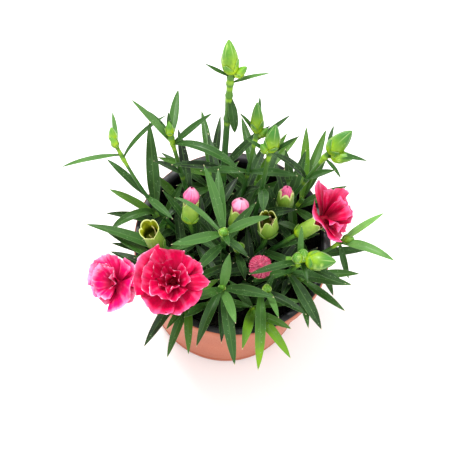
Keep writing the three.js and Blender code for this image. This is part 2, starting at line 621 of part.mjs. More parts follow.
// ---------------------------------------------------------------- petals

/** Where a stem's open calyx holds its bloom: mouth centre, axes and inner radius. */
function mouthOf(stemName) {
  const stem = STEMS.find((one) => one.name === stemName);
  const head = stem.heads.find((one) => one[6] === 'calyx');
  const { base, frame } = headFrame(stem, head);
  const depth = head[4] - TOOTH_LENGTH.calyx - CALYX_RECESS + GAP;
  return {
    floor: plus(base, times(frame[2], depth)),
    frame,
    radius: (head[5] / 2) * CALYX_TAPER - CALYX_WALL - GAP,
  };
}

/** The petals of a bloom, each with its own roll and waves. */
function bloomPetals(bloom) {
  const draw = draws(bloom.seed);
  return bloom.petals.map(([layer, turn, spread, length, opening, cup]) => ({
    layer,
    turn,
    spread,
    length,
    opening,
    cup,
    roll: mix(OUTER_ROLL, INNER_ROLL, layer / CORE_LAYERS),
    wave: PETAL_WAVE * (0.5 + draw()) * (1 + 0.4 * layer),
    phase: 6.3 * draw(),
  }));
}

/** Angle of a petal from the bloom's axis: opening out from the claw, then cupped back. */
function petalLean(petal, margin) {
  const opened = radians(petal.spread) * (0.6 + 0.4 * smooth(margin / 0.4));
  return opened - radians(petal.cup) * smooth((margin - 0.4) / 0.6);
}

/** A point of a petal: `s` from claw to margin, `t` from -1 to 1 across. */
function petalPoint(mouth, petal, s, t) {
  const margin = s * (1 - PETAL_CORNER * t * t * s);
  const steps = 12;
  let out = 0.6 * CORE_RADIUS;
  let up = PETAL_RISE + LAYER_STEP * petal.layer;
  for (let k = 0; k < steps; k += 1) {
    const angle = petalLean(petal, margin * (k + 0.5) / steps);
    out += petal.length * margin / steps * Math.sin(angle);
    up += petal.length * margin / steps * Math.cos(angle);
  }
  const angle = petalLean(petal, margin);
  const fan = petal.length * s * Math.tan(radians(petal.opening / 2)) * (1 - PETAL_NARROWS * s);
  const half = CLAW_WIDTH / 2 + fan;
  const sideways = petal.roll * Math.sin(t * half / petal.roll);
  const wave = petal.wave * s * s * Math.sin(petal.phase + 4.5 * t);
  const lift = petal.roll * (1 - Math.cos(t * half / petal.roll)) + wave;
  const turn = radians(petal.turn);
  const radial = plus(times(mouth.frame[0], Math.cos(turn)), times(mouth.frame[1], Math.sin(turn)));
  const lateral = plus(times(mouth.frame[0], -Math.sin(turn)), times(mouth.frame[1], Math.cos(turn)));
  const flat = times(radial, out - lift * Math.cos(angle));
  const high = times(mouth.frame[2], up + lift * Math.sin(angle));
  return plus(plus(mouth.floor, flat), plus(high, times(lateral, sideways)));
}

/** A waved petal, both faces split along the same diagonals. */
function petalBody(mouth, petal) {
  const across = petal.layer < 2 ? 4 : 3;
  const rows = petal.layer < 1 ? [0, 0.36, 0.72, 1] : [0, 0.5, 1];
  const points = [];
  const offset = [];
  rows.forEach((s) => {
    for (let j = 0; j <= across; j += 1) {
      const t = -1 + 2 * j / across;
      points.push(petalPoint(mouth, petal, s, t));
      const du = minus(petalPoint(mouth, petal, s + 0.02, t), petalPoint(mouth, petal, s - 0.02, t));
      const dv = minus(petalPoint(mouth, petal, s, t + 0.02), petalPoint(mouth, petal, s, t - 0.02));
      offset.push(times(unit(cross(du, dv)), PETAL_THICKNESS / 2));
    }
  });
  const total = points.length;
  const both = [
    ...points.map((point, k) => plus(point, offset[k])),
    ...points.map((point, k) => minus(point, offset[k])),
  ];
  const triangles = [];
  const wide = across + 1;
  for (let i = 0; i < rows.length - 1; i += 1) {
    for (let j = 0; j < across; j += 1) {
      const a = i * wide + j;
      const [b, c, d] = [a + 1, a + wide, a + wide + 1];
      triangles.push([a, c, d], [a, d, b]);
      triangles.push([total + a, total + d, total + c], [total + a, total + b, total + d]);
    }
  }
  const border = [];
  for (let j = 0; j < across; j += 1) {
    border.push(j);
  }
  for (let i = 0; i < rows.length - 1; i += 1) {
    border.push(i * wide + across);
  }
  for (let j = across; j > 0; j -= 1) {
    border.push((rows.length - 1) * wide + j);
  }
  for (let i = rows.length - 1; i > 0; i -= 1) {
    border.push(i * wide);
  }
  border.forEach((a, k) => {
    const b = border[(k + 1) % border.length];
    triangles.push([a, b, total + b], [a, total + b, total + a]);
  });
  return outward(both, triangles);
}

function outward(points, triangles) {
  const body = solid(points, triangles);
  return body.volume() > 0 ? body : solid(points, triangles.map(([a, b, c]) => [a, c, b]));
}

/** The core that stands in the calyx and carries the petals. */
function coreBody(mouth) {
  const at = (h) => plus(mouth.floor, times(mouth.frame[2], h));
  const top = PETAL_RISE + LAYER_STEP * CORE_LAYERS;
  const rings = [
    ring(at(0), mouth.frame, 8, () => mouth.radius),
    ring(at(PETAL_RISE), mouth.frame, 8, () => mouth.radius),
    ring(at(top), mouth.frame, 8, () => CORE_RADIUS),
  ];
  return ringBody(rings, at(0), at(top + 1));
}

function bloomBody(bloom) {
  const mouth = mouthOf(bloom.stem);
  const petals = bloomPetals(bloom).map((petal) => petalBody(mouth, petal));
  return union([coreBody(mouth), ...petals]);
}

/** A furled tip: petals wound round each other, each edge standing over the next. */
function budTipBody(tip) {
  const mouth = mouthOf(tip.stem);
  const sides = 12;
  const wound = (k, h) => 1 + tip.frill * (((k + 2 * h) % 4) / 3 - 0.5);
  const at = (h) => plus(mouth.floor, times(mouth.frame[2], h));
  const deep = CALYX_RECESS + TOOTH_LENGTH.calyx;
  const rings = [
    ring(at(0), mouth.frame, sides, () => mouth.radius),
    ring(at(deep + 0.5), mouth.frame, sides, () => mouth.radius),
    ring(at(deep + 0.25 * tip.reach), mouth.frame, sides, (k) => mouth.radius * tip.bulge * wound(k, 0)),
    ring(at(deep + 0.65 * tip.reach), mouth.frame, sides,
      (k) => mouth.radius * tip.bulge * 0.8 * wound(k, 1)),
    ring(at(deep + tip.reach), mouth.frame, sides, (k) => mouth.radius * tip.bulge * 0.24 * wound(k, 2)),
  ];
  return ringBody(rings, at(0), at(deep + tip.reach - 0.8));
}

// ---------------------------------------------------------------- keeping blades clear

const taken = [];     // { owner, point, radius, gap } of everything already placed

function take(owner, point, radius, gap) {
  taken.push({ owner, point, radius, gap });
}

function potRadius(z) {
  return mix(POT_BASE_RADIUS, POT_RIM_RADIUS - POT_LIP_WIDTH, z / (POT_HEIGHT - POT_LIP_HEIGHT));
}

function innerRadius(z) {
  const floor = POT_RECESS + POT_FLOOR;
  const share = (z - floor) / (POT_HEIGHT - POT_LIP_HEIGHT - floor);
  return mix(POT_BASE_RADIUS, POT_RIM_RADIUS - POT_LIP_WIDTH, share) - POT_WALL;
}

/** True where a blade would touch the pot, the soil or the ground. */
function touchesPot(point) {
  const [x, y, z] = point;
  const reach = Math.hypot(x, y);
  const overRim = z > POT_HEIGHT + POT_CLEARANCE;
  const inside = reach < potRadius(z) - POT_WALL - POT_CLEARANCE && z > SOIL_TOP + SOIL_CLEARANCE;
  const outside = reach > POT_RIM_RADIUS + POT_CLEARANCE;
  return !(overRim || inside || outside) || z < SOIL_CLEARANCE;
}

function isClear(owner, points) {
  return points.every((point) => !touchesPot(point) && taken.every((other) => {
    if (other.owner === owner) {
      return true;
    }
    const reach = other.radius + other.gap;
    const apart = minus(point, other.point);
    return dot(apart, apart) >= reach * reach;
  }));
}

/** Small changes of turn and rise, tried in order until a blade is clear of the rest. */
const BENDS = [
  [0, 0], [6, 0], [-6, 0], [0, 6], [0, -6], [12, 0], [-12, 0], [8, 8], [-8, 8], [0, 13],
  [18, 0], [-18, 0], [0, -13], [14, 12], [-14, 12], [24, 0], [-24, 0], [0, 20], [20, 16], [-20, 16],
  [12, -10], [-12, -10], [30, 8], [-30, 8], [10, 26], [-10, 26], [36, 0], [-36, 0], [30, 24], [-30, 24],
  [24, -14], [-24, -14], [46, 10], [-46, 10], [0, 36],
];
const SHORTER = [1, 0.86, 0.7];

function placeBlade(stem, entry, index) {
  const [f, turn, rise, length, width, droop] = entry;
  const base = alongPath(stem.path, f);
  for (const short of SHORTER) {
    for (const [dTurn, dRise] of BENDS) {
      const leaf = {
        turn: turn + dTurn,
        rise: Math.min(rise + dRise, 84),
        length: length * short,
        width,
        droop,
        roll: LEAF_ROLL * Math.sin(2.4 * index + 0.05 * turn),
      };
      const samples = bladeSamples(base, leaf);
      if (isClear(stem.name, samples)) {
        samples.forEach((point) => take(stem.name, point, 0, LEAF_CLEARANCE));
        return { base, leaf };
      }
    }
  }
  return null;
}

/** Short shoots round the crown, set by a rule between the listed stems. */
function crownShoots() {
  const draw = draws(CROWN_SEED);
  const shoots = [];
  CROWN_TURNS.forEach((turn, k) => {
    const out = heading(turn, 0);
    const root = plus(times(out, CROWN_RADIUS), [0, 0, LEAN_HEIGHT]);
    const top = plus(times(out, CROWN_RADIUS + 9), [0, 0, LEAN_HEIGHT + 10]);
    const bend = plus(times(out, CROWN_RADIUS + 6), [0, 0, LEAN_HEIGHT + 3]);
    const leaves = [];
    for (let pair = 0; pair < 2; pair += 1) {
      for (const side of [0, 180]) {
        const leafTurn = turn + 90 * pair + side + 30 * (draw() - 0.5);
        leaves.push([0.95 - 0.35 * pair, leafTurn, 40 + 20 * draw(), 24 + 12 * draw(), 5.2, 26]);
      }
    }
    shoots.push({ name: `shoot_crown_${k + 1}`, girth: 2.4, path: [root, bend, top], leaves, heads: [] });
  });
  return shoots;
}

/** Every stem with the blades that found a clear place. */
function grow() {
  const stems = [...STEMS, ...crownShoots()];
  for (const stem of stems) {
    for (let f = 0; f <= 1; f += 0.02) {
      take(stem.name, alongPath(stem.path, f), 0.5 * stem.girth, STEM_CLEARANCE);
    }
    for (const head of stem.heads) {
      for (const { point, radius } of headSamples(stem, head)) {
        take(stem.name, point, radius, STEM_CLEARANCE);
      }
    }
  }
  for (const tip of BUD_TIPS) {
    const mouth = mouthOf(tip.stem);
    for (let h = 0; h <= PETAL_RISE + tip.reach; h += 2) {
      take(tip.name, plus(mouth.floor, times(mouth.frame[2], h)), mouth.radius * tip.bulge, STEM_CLEARANCE);
    }
  }
  for (const bloom of BLOOMS) {
    const mouth = mouthOf(bloom.stem);
    for (const petal of bloomPetals(bloom)) {
      for (let s = 0.3; s <= 1.01; s += 0.14) {
        for (let t = -1; t <= 1.01; t += 0.25) {
          take(bloom.name, petalPoint(mouth, petal, s, t), 0, PETAL_CLEARANCE);
        }
      }
    }
  }
  return stems.map((stem) => {
    const blades = stem.leaves.map((entry, index) => placeBlade(stem, entry, index));
    return { stem, blades: blades.filter((blade) => blade !== null) };
  });
}

// ---------------------------------------------------------------- pot and soil

function potBody() {
  const lipFoot = POT_HEIGHT - POT_LIP_HEIGHT;
  const wallTop = POT_RIM_RADIUS - POT_LIP_WIDTH;
  const footInner = POT_BASE_RADIUS - POT_FOOT_WIDTH;
  const profile = [
    [0, 0],
    [POT_HUB_RADIUS, 0],
    [POT_HUB_RADIUS + POT_BEVEL, POT_RECESS],
    [footInner - POT_BEVEL, POT_RECESS],
    [footInner, 0],
    [POT_BASE_RADIUS, 0],
    [wallTop, lipFoot],
    [POT_RIM_RADIUS - POT_BEVEL / 2, lipFoot],
    [POT_RIM_RADIUS, lipFoot + POT_BEVEL],
    [POT_RIM_RADIUS, POT_HEIGHT - POT_BEVEL],
    [POT_RIM_RADIUS - POT_BEVEL, POT_HEIGHT],
    [wallTop, POT_HEIGHT],
    [wallTop - POT_WALL, POT_HEIGHT - 3],
    [wallTop - POT_WALL, lipFoot],
    [POT_BASE_RADIUS - POT_WALL, POT_RECESS + POT_FLOOR],
    [0, POT_RECESS + POT_FLOOR],
  ];
  let pot = turned(profile, POT_SEGMENTS);
  const middle = (POT_HUB_RADIUS + footInner) / 2;
  for (let k = 0; k < DRAIN_HOLES; k += 1) {
    const angle = 2 * Math.PI * k / DRAIN_HOLES;
    const centre = [middle * Math.cos(angle), middle * Math.sin(angle), -1];
    pot = pot.subtract(post(centre, DRAIN_RADIUS, 8, POT_RECESS + POT_FLOOR + 2));
  }
  return pot;
}

/** An upright post, for cutting holes. */
function post(foot, radius, sides, height) {
  const frame = axes([0, 0, 1]);
  const head = plus(foot, [0, 0, height]);
  const rings = [ring(foot, frame, sides, () => radius), ring(head, frame, sides, () => radius)];
  return ringBody(rings, foot, head);
}

/** Height of the soil's lumpy surface. */
function soilHeight(x, y) {
  const lumps = Math.sin(0.21 * x + 1.3) * Math.cos(0.26 * y - 0.4) + 0.6 * Math.sin(0.37 * x - 0.31 * y);
  return SOIL_TOP + SOIL_LUMP * lumps / 1.6;
}

function soilBody(stems) {
  const floor = POT_RECESS + POT_FLOOR + GAP;
  const segments = POT_SEGMENTS;
  const frame = axes([0, 0, 1]);
  const reach = (z) => innerRadius(z) - GAP;
  const rings = [
    ring([0, 0, floor], frame, segments, () => reach(floor)),
    ring([0, 0, SOIL_TOP - 3], frame, segments, () => reach(SOIL_TOP - 3)),
  ];
  for (const share of [0.98, 0.5]) {
    const radius = reach(SOIL_TOP) * share;
    const height = (k, angle) => soilHeight(radius * Math.cos(angle), radius * Math.sin(angle)) - SOIL_TOP;
    rings.push(ring([0, 0, SOIL_TOP], frame, segments, () => radius, height));
  }
  let soil = ringBody(rings, [0, 0, floor], [0, 0, soilHeight(0, 0)]);
  for (const stem of stems) {
    const [x, y] = stem.path[0];
    const foot = [x, y, SOIL_TOP - ROOT_DEPTH - GAP];
    soil = soil.subtract(post(foot, stem.girth / 2 + 0.9, STEM_SIDES, ROOT_DEPTH + 6));
  }
  return soil;
}

// ---------------------------------------------------------------- the object

/** The outer skin of a body, so that hollows shut in between petals are filled. */
function filled(body) {
  return body.decompose().reduce((most, shell) => (shell.volume() > most.volume() ? shell : most));
}

function addMesh(group, name, body, colour, roughness) {
  const mesh = filled(body.asOriginal().simplify(FINE)).getMesh();
  const geometry = new THREE.BufferGeometry();
  geometry.setAttribute('position', new THREE.BufferAttribute(new Float32Array(mesh.vertProperties), 3));
  geometry.setIndex(new THREE.BufferAttribute(new Uint32Array(mesh.triVerts), 1));
  geometry.computeVertexNormals();
  const material = new THREE.MeshStandardMaterial({ color: colour, roughness, metalness: 0 });
  const node = new THREE.Mesh(geometry, material);
  node.name = name;
  group.add(node);
}

/** The stem, its blades and its green heads fused in one body. */
function leafyStemBody({ stem, blades }) {
  return union([
    stemBody(stem),
    ...blades.map(({ base, leaf }) => bladeBody(base, leaf)),
    ...stem.heads.map((head) => headBody(stem, head)),
  ]);
}

const plant = new THREE.Group();
const grown = grow();
addMesh(plant, 'pot', potBody(), COLOURS.terracotta, 0.55);
addMesh(plant, 'soil', soilBody(grown.map(({ stem }) => stem)), COLOURS.soil, 0.95);
for (const one of grown) {
  const colour = one.stem.heads.length > 0 ? COLOURS.leaf : COLOURS.shoot;
  addMesh(plant, one.stem.name, leafyStemBody(one), colour, 0.6);
}
for (const bloom of BLOOMS) {
  addMesh(plant, bloom.name, bloomBody(bloom), COLOURS.petal, 0.7);
}
for (const tip of BUD_TIPS) {
  addMesh(plant, tip.name, budTipBody(tip), COLOURS.budTip, 0.7);
}

export default plant;
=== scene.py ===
import math

import bpy
import numpy as np
from mathutils import Matrix, Vector


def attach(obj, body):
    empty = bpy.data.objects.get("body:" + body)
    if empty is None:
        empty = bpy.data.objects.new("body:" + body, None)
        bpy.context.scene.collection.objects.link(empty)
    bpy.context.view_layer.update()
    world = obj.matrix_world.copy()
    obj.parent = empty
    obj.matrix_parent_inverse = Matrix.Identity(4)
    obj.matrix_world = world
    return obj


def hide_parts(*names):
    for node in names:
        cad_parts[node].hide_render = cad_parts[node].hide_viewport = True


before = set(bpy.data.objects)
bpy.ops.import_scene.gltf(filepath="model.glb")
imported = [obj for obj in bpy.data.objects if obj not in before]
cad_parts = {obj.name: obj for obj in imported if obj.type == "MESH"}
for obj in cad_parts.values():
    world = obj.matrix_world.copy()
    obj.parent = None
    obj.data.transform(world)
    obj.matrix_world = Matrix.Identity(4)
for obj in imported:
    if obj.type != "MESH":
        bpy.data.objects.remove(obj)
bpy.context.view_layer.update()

# ---------------------------------------------------------------- the part's dimensions, in millimetres

MM = 0.001
POT_HEIGHT = 92
POT_RIM_RADIUS = 60
POT_LIP_HEIGHT = 8
POT_LIP_WIDTH = 4.5
POT_BASE_RADIUS = 46
POT_WALL = 1.6
POT_FLOOR = 2.4
POT_FOOT_WIDTH = 6
POT_HUB_RADIUS = 26
POT_RECESS = 2.4
LIP_FOOT = POT_HEIGHT - POT_LIP_HEIGHT
WALL_TOP_RADIUS = POT_RIM_RADIUS - POT_LIP_WIDTH
FLOOR_TOP = POT_RECESS + POT_FLOOR
DRAIN_HOLES = 6
DRAIN_RADIUS = 3.5
GAP = 0.3
SOIL_TOP = 77
SOIL_LUMP = 1.1
ROOT_DEPTH = 9
LEAN = 80
STEM_TAPER = 0.85
LEAF_FOLD = 0.34
LEAF_ROOT_WIDTH = 0.42
LEAF_WIDENED = 0.4
LEAF_TAPERS = 0.45
LEAF_TAPER_POWER = 2.2
LEAF_ROLL = 14
STEEPEST_LEAF = 84
LEAF_CLEARANCE = 2.4
STEM_CLEARANCE = 1.7
SAMPLE_STEP = 2.4
POT_CLEARANCE = 2.2
SOIL_CLEARANCE = 3
PETAL_CLEARANCE = 2.6
CORE_RADIUS = 2.6
CLAW_WIDTH = 3
PETAL_STEPS = 12
PETAL_CORNER = 0.26
PETAL_NARROWS = 0.46
CALYX_WALL = 0.8
CALYX_RECESS = 5
CALYX_TEETH = 5
CALYX_TAPER = 0.96
TOOTH_LENGTH = {"calyx": 2.2, "spent": 3.4}
CALYX_DEPTH = CALYX_RECESS + TOOTH_LENGTH["calyx"]
PETAL_RISE = CALYX_DEPTH + 1

# ---------------------------------------------------------------- layout, as in the part


def records(fields, rows):
    """Rows of values as dictionaries by their field names."""
    return [dict(zip(fields.split(), row)) for row in rows]


# path:   where the stem starts to lean, the point it bends towards, its top
# leaves: (place along the stem, turn, rise, length, width, droop)
# heads:  (place along the stem, turn, rise, stalk, length, width, kind)
STEM_FIELDS = "name girth path leaves heads"
STEMS = records(STEM_FIELDS, [
    ("stem_tall_back", 4.2, [(-9, 4, LEAN), (-13, 34, 147), (-16, 54, 210)], [
        (0.97, 181, 46, 20, 2.4, 16), (0.93, 10, 42, 26, 2.4, 22), (0.86, 303, -51, 30, 5.5, 31),
        (0.72, 105, 62, 22, 4, 8), (0.42, 20, 48, 40, 5.5, 26), (0.42, 200, 45, 38, 5.5, 26),
        (0.2, 110, 30, 46, 6, 30), (0.2, 290, 48, 34, 5.5, 22), (0.08, 35, 34, 34, 5.4, 26)
    ], [(1, 112, 64, 0, 23, 9.4, "bud"), (0.95, 20, 58, 6, 10.5, 5.2, "bud")]),
    ("stem_back_bud", 2.8, [(0, 10, LEAN), (2, 26, 128), (4, 40, 168)], [
        (0.95, 92, 12, 26, 3, 22), (0.95, 156, 55, 20, 2.4, 14), (0.9, 42, 32, 26, 3, 20),
        (0.6, 165, 40, 34, 5, 24), (0.6, 345, 42, 34, 5, 24), (0.3, 75, 35, 42, 6, 28)
    ], [(1, 106, 62, 0, 21, 7.2, "bud"), (0.92, 20, 62, 5, 9, 4.4, "bud")]),
    ("stem_back_second", 2.8, [(9, 3, LEAN), (12, 15, 128), (13, 30, 167)], [
        (0.97, 177, 48, 22, 2.6, 15), (0.95, 24, 50, 24, 2.8, 16), (0.62, 92, 20, 34, 6, 26),
        (0.62, 275, 50, 30, 6, 22), (0.3, 350, 50, 30, 6, 26)
    ], [(1, 84, 64, 0, 19, 8.8, "bud"), (0.94, 170, 66, 5, 9, 4.6, "bud")]),
    ("stem_right_back", 2.8, [(20, 12, LEAN), (32, 28, 119), (48, 42, 152)], [
        (0.97, 88, 20, 18, 2.6, 17), (0.94, 347, 42, 29, 3.4, 20), (0.92, 318, 4, 16, 2.4, 20),
        (0.66, 165, 64, 30, 5, 60), (0.66, 345, 40, 26, 4.6, 22), (0.35, 80, 42, 36, 6, 26)
    ], [(1, 39, 48, 0, 20, 10.4, "bud"), (0.93, 355, 30, 5, 15, 7, "bud")]),
    ("stem_far_left", 2.4, [(-25, 1, LEAN), (-52, 3, 111), (-78, 27, 152)], [
        (0.96, 105, 4, 24, 3, 20), (0.9, 200, 24, 38, 3, 62), (0.87, 50, 76, 42, 2.6, 100),
        (0.55, 150, 30, 34, 5, 24), (0.55, 320, 30, 24, 4.5, 20)
    ], [(1, 120, 66, 0, 11, 4.6, "bud"), (0.93, 150, 62, 4, 9, 4.2, "bud")]),
    ("stem_left_back", 2.8, [(-22, 9, LEAN), (-34, 20, 123), (-46, 34, 158)], [
        (0.9, 157, 52, 40, 4.6, 22), (0.9, 31, 56, 35, 4.4, 18), (0.95, 92, 16, 32, 5.4, 22),
        (0.98, 110, 66, 18, 3, 8), (0.97, 138, 19, 22, 4, 16), (0.6, 198, 62, 30, 4.6, 16),
        (0.9, 345, 55, 50, 5.6, 110), (0.3, 110, 34, 46, 6, 28), (0.14, 60, 44, 34, 5.4, 24)
    ], [(1, 110, 64, 0, 10, 4.6, "bud")]),
    ("stem_centre", 3, [(-4, -5, LEAN), (-6, -12, 122), (-6, -22, 158)], [
        (0.96, 105, 28, 38, 6.4, 24), (0.94, 118, 40, 42, 5.6, 26), (0.96, 10, 58, 37, 6.2, 20),
        (0.96, 211, 32, 35, 6.2, 24), (0.99, 290, 44, 15, 3.6, 12), (0.85, 134, 5, 49, 3.2, 61),
        (0.72, 322, 34, 22, 5, 26), (0.42, 60, 34, 36, 6, 26), (0.42, 240, 32, 30, 6, 26),
        (0.16, 150, 52, 30, 5.4, 24)
    ], [(1, 270, 76, 0, 6, 4.8, "bud")]),
    ("stem_spent_left", 3, [(-21, -8, LEAN), (-34, -16, 92), (-43, -19, 113)], [
        (0.45, 176, 32, 60, 7, 34), (0.75, 215, 44, 26, 4.6, 26), (0.75, 10, 50, 26, 4.6, 24),
        (0.25, 250, 40, 24, 5, 24), (0.3, 110, 48, 34, 5.6, 24), (0.1, 20, 46, 28, 5, 24)
    ], [(1, 170, 72, 0, 21, 10.4, "spent")]),
    ("stem_bud_left", 2.8, [(-14, 2, LEAN), (-25, -5, 98), (-27, -2, 118)], [
        (0.6, 144, 46, 34, 4.4, 22), (0.6, 320, 40, 26, 4.6, 22), (0.3, 60, 52, 30, 5, 24),
        (0.3, 235, 36, 28, 5, 24), (0.1, 130, 50, 32, 5.4, 24), (0.1, 190, 46, 28, 5, 24)
    ], [(1, 98, 56, 0, 16, 9.6, "calyx")]),
    ("stem_bud_mid", 2.8, [(2, 1, LEAN), (-1, -3, 99), (1, 1, 114)], [
        (0.55, 78, 48, 42, 5.4, 26), (0.55, 258, 40, 24, 5, 22), (0.12, 100, 56, 32, 5.4, 22),
        (0.12, 200, 40, 26, 5, 24)
    ], [(1, 90, 64, 0, 16, 10.4, "calyx")]),
    ("stem_bud_right", 2.6, [(14, 11, LEAN), (23, 15, 96), (27, 19, 112)], [
        (0.5, 131, 72, 32, 6.2, 20), (0.5, 315, 40, 28, 5, 24), (0.25, 55, 46, 40, 6, 28)
    ], [(1, 90, 72, 0, 15.5, 10, "calyx")]),
    ("stem_bud_front", 2.8, [(11, -12, LEAN), (16, -19, 96), (18, -21, 108)], [
        (0.55, 200, 26, 26, 5, 24), (0.3, 120, 46, 28, 5, 24)
    ], [(1, 275, 74, 0, 13, 11, "calyx")]),
    ("stem_spent_right", 3, [(10, -4, LEAN), (18, -7, 96), (19.9, 0.4, 114)], [
        (0.5, 355, 34, 34, 5.4, 26), (0.5, 120, 62, 30, 5, 20), (0.25, 60, 50, 32, 5, 24)
    ], [(1, 125, 78, 0, 18, 12, "spent")]),
    ("stem_bloom_front", 3.2, [(-14, -14, LEAN), (-24, -33, 92), (-26.5, -41, 104)], [
        (0.5, 244, 6, 50, 6.4, 50), (0.5, 20, 44, 34, 5.4, 24), (0.25, 160, 34, 26, 5, 24)
    ], [(1, 215, 76, 0, 16, 8.6, "calyx")]),
    ("stem_bloom_left", 3, [(-26, -14, LEAN), (-40, -29, 100), (-51.5, -43, 102)], [
        (0.5, 150, 24, 34, 6, 28), (0.5, 300, 10, 26, 5, 36)
    ], [(1, 196, 44, 0, 15, 8.6, "calyx")]),
    ("stem_bloom_right", 3, [(17, -4, LEAN), (25, -4, 104), (37, 3, 112)], [
        (0.45, 18, 50, 32, 5, 50), (0.45, 275, 40, 24, 5, 24)
    ], [(1, 28, 36, 0, 17, 8.8, "calyx")]),
    ("stem_far_right", 2.4, [(25, -5, LEAN), (46, -11, 98), (65.5, 5.5, 110)], [
        (0.96, 45, 56, 37, 4.4, 14), (0.94, 342, 46, 39, 5.8, 50), (0.94, 298, -20, 24, 4, 30),
        (0.6, 15, 20, 34, 5.4, 30), (0.6, 300, 26, 30, 5.4, 30)
    ], [(1, 350, 50, 0, 9, 5, "bud")]),
    ("stem_cluster", 3, [(19, -14, LEAN), (35, -22, 98), (42, -18, 126)], [
        (0.97, 207, 34, 38, 4.4, 26), (0.95, 98, 44, 22, 3.6, 16), (0.97, 290, 20, 15, 3, 15),
        (0.95, 344, 6, 30, 5, 22), (0.62, 352, 26, 40, 6.8, 28), (0.62, 312, 4, 41, 7, 46),
        (0.62, 182, -6, 34, 6, 24), (0.3, 60, 40, 32, 6, 28)
    ], [
        (1, 357, 22, 3, 18, 11, "bud"), (1, 100, 74, 1, 9, 7, "bud"), (0.98, 215, 66, 6, 8, 6, "bud"),
        (0.82, 165, 50, 4, 7, 4.6, "bud")
    ]),
    ("stem_front_bud", 2.4, [(10, -20, LEAN), (22, -32, 96), (24, -36, 116)], [
        (0.96, 293, 46, 31, 4, 18), (0.96, 113, 50, 12, 3, 10), (0.6, 278, 14, 50, 6.6, 60),
        (0.6, 350, 22, 32, 5.4, 34)
    ], [(1, 280, 76, 0, 6, 4.6, "bud")]),
    ("stem_front_rosette", 3, [(-2, -16, LEAN), (-2, -32, 94), (-2, -38, 111)], [
        (0.98, 222, 44, 27, 5.6, 18), (0.96, 344, 46, 39, 6.6, 22), (0.98, 295, 36, 31, 5.8, 20),
        (0.98, 85, 60, 25, 6, 14), (0.99, 250, 60, 12, 4, 10), (0.6, 288, 20, 51, 7, 64),
        (0.6, 255, 22, 42, 6, 62), (0.35, 269, 26, 42, 5.4, 62), (0.6, 130, 14, 32, 6, 26)
    ], [(1, 270, 78, 0, 5, 3.6, "bud")]),
    ("stem_little_ball", 2.2, [(3, -10, LEAN), (4, -12, 96), (4, -9, 106)], [
        (0.7, 130, 40, 22, 4.6, 22), (0.7, 318, 36, 26, 5, 24)
    ], [(1, 300, 80, 0, 6, 6, "bud")]),
    ("shoot_left", 2.8, [(-31, 2, LEAN), (-42, 5, 87), (-50, 9, 96)], [
        (0.92, 105, 52, 60, 7.8, 24), (0.92, 163, 26, 33, 5, 24), (0.95, 212, 84, 42, 5.4, 165),
        (0.6, 180, 32, 38, 5, 28), (0.6, 70, 58, 30, 5.4, 20), (0.6, 250, 50, 26, 5, 20)
    ], []),
    ("shoot_left_front", 2.6, [(-34, -10, LEAN), (-40, -17, 88), (-43, -23, 98)], [
        (0.9, 172, 24, 40, 5.6, 30), (0.9, 262, 22, 34, 5, 44), (0.6, 200, 32, 34, 5, 28),
        (0.6, 110, 46, 26, 5, 22)
    ], []),
    ("shoot_front_left", 2.8, [(-13, -28, LEAN), (-18, -38, 86), (-21, -44, 94)], [
        (0.9, 258, 8, 38, 5.4, 50), (0.9, 290, 24, 34, 5, 52), (0.6, 215, 22, 34, 5, 40),
        (0.6, 40, 50, 24, 5, 22)
    ], []),
    ("shoot_front_right", 2.8, [(13, -30, LEAN), (18, -38, 86), (20, -44, 93)], [
        (0.92, 306, 20, 37, 6, 52), (0.9, 338, 34, 26, 5.2, 36), (0.6, 256, 22, 36, 6, 46),
        (0.6, 10, 36, 32, 5.2, 30), (0.6, 140, 44, 24, 5, 22)
    ], []),
    ("shoot_right", 2.8, [(33, -14, LEAN), (41, -17, 88), (45, -19, 98)], [
        (0.9, 328, 22, 34, 5.2, 30), (0.9, 12, 26, 36, 5.6, 30), (0.6, 50, 36, 30, 5, 28),
        (0.6, 290, 28, 34, 5.2, 44)
    ], []),
    ("shoot_back_right", 2.8, [(26, 20, LEAN), (34, 28, 88), (38, 33, 98)], [
        (0.92, 96, 36, 46, 6, 26), (0.92, 80, 22, 50, 6, 32), (0.92, 70, 4, 38, 5, 26),
        (0.6, 30, 30, 36, 5.6, 28), (0.6, 110, 40, 38, 6, 24), (0.6, 320, 40, 30, 5.4, 26),
        (0.3, 200, 50, 26, 5, 22)
    ], []),
    ("shoot_back", 2.8, [(5, 24, LEAN), (8, 34, 88), (9, 40, 97)], [
        (0.92, 110, 16, 46, 6, 30), (0.92, 60, 58, 40, 6, 22), (0.92, 58, 22, 40, 5, 26),
        (0.6, 20, 44, 32, 6, 26), (0.6, 160, 42, 34, 6, 26)
    ], []),
    ("shoot_back_left", 2.8, [(-17, 22, LEAN), (-19, 33, 88), (-20, 40, 98)], [
        (0.92, 106, 18, 44, 5.2, 28), (0.92, 178, 32, 36, 5.6, 24), (0.6, 90, 22, 46, 5, 32),
        (0.6, 155, 22, 38, 5, 30), (0.6, 235, 40, 28, 5, 24)
    ], []),
])

CROWN_TURNS = [20, 76, 118, 148, 258]
CROWN_RADIUS = 33
CROWN_SEED = 11

LAYER_STEP = 1.8
PETAL_WAVE = 1.1
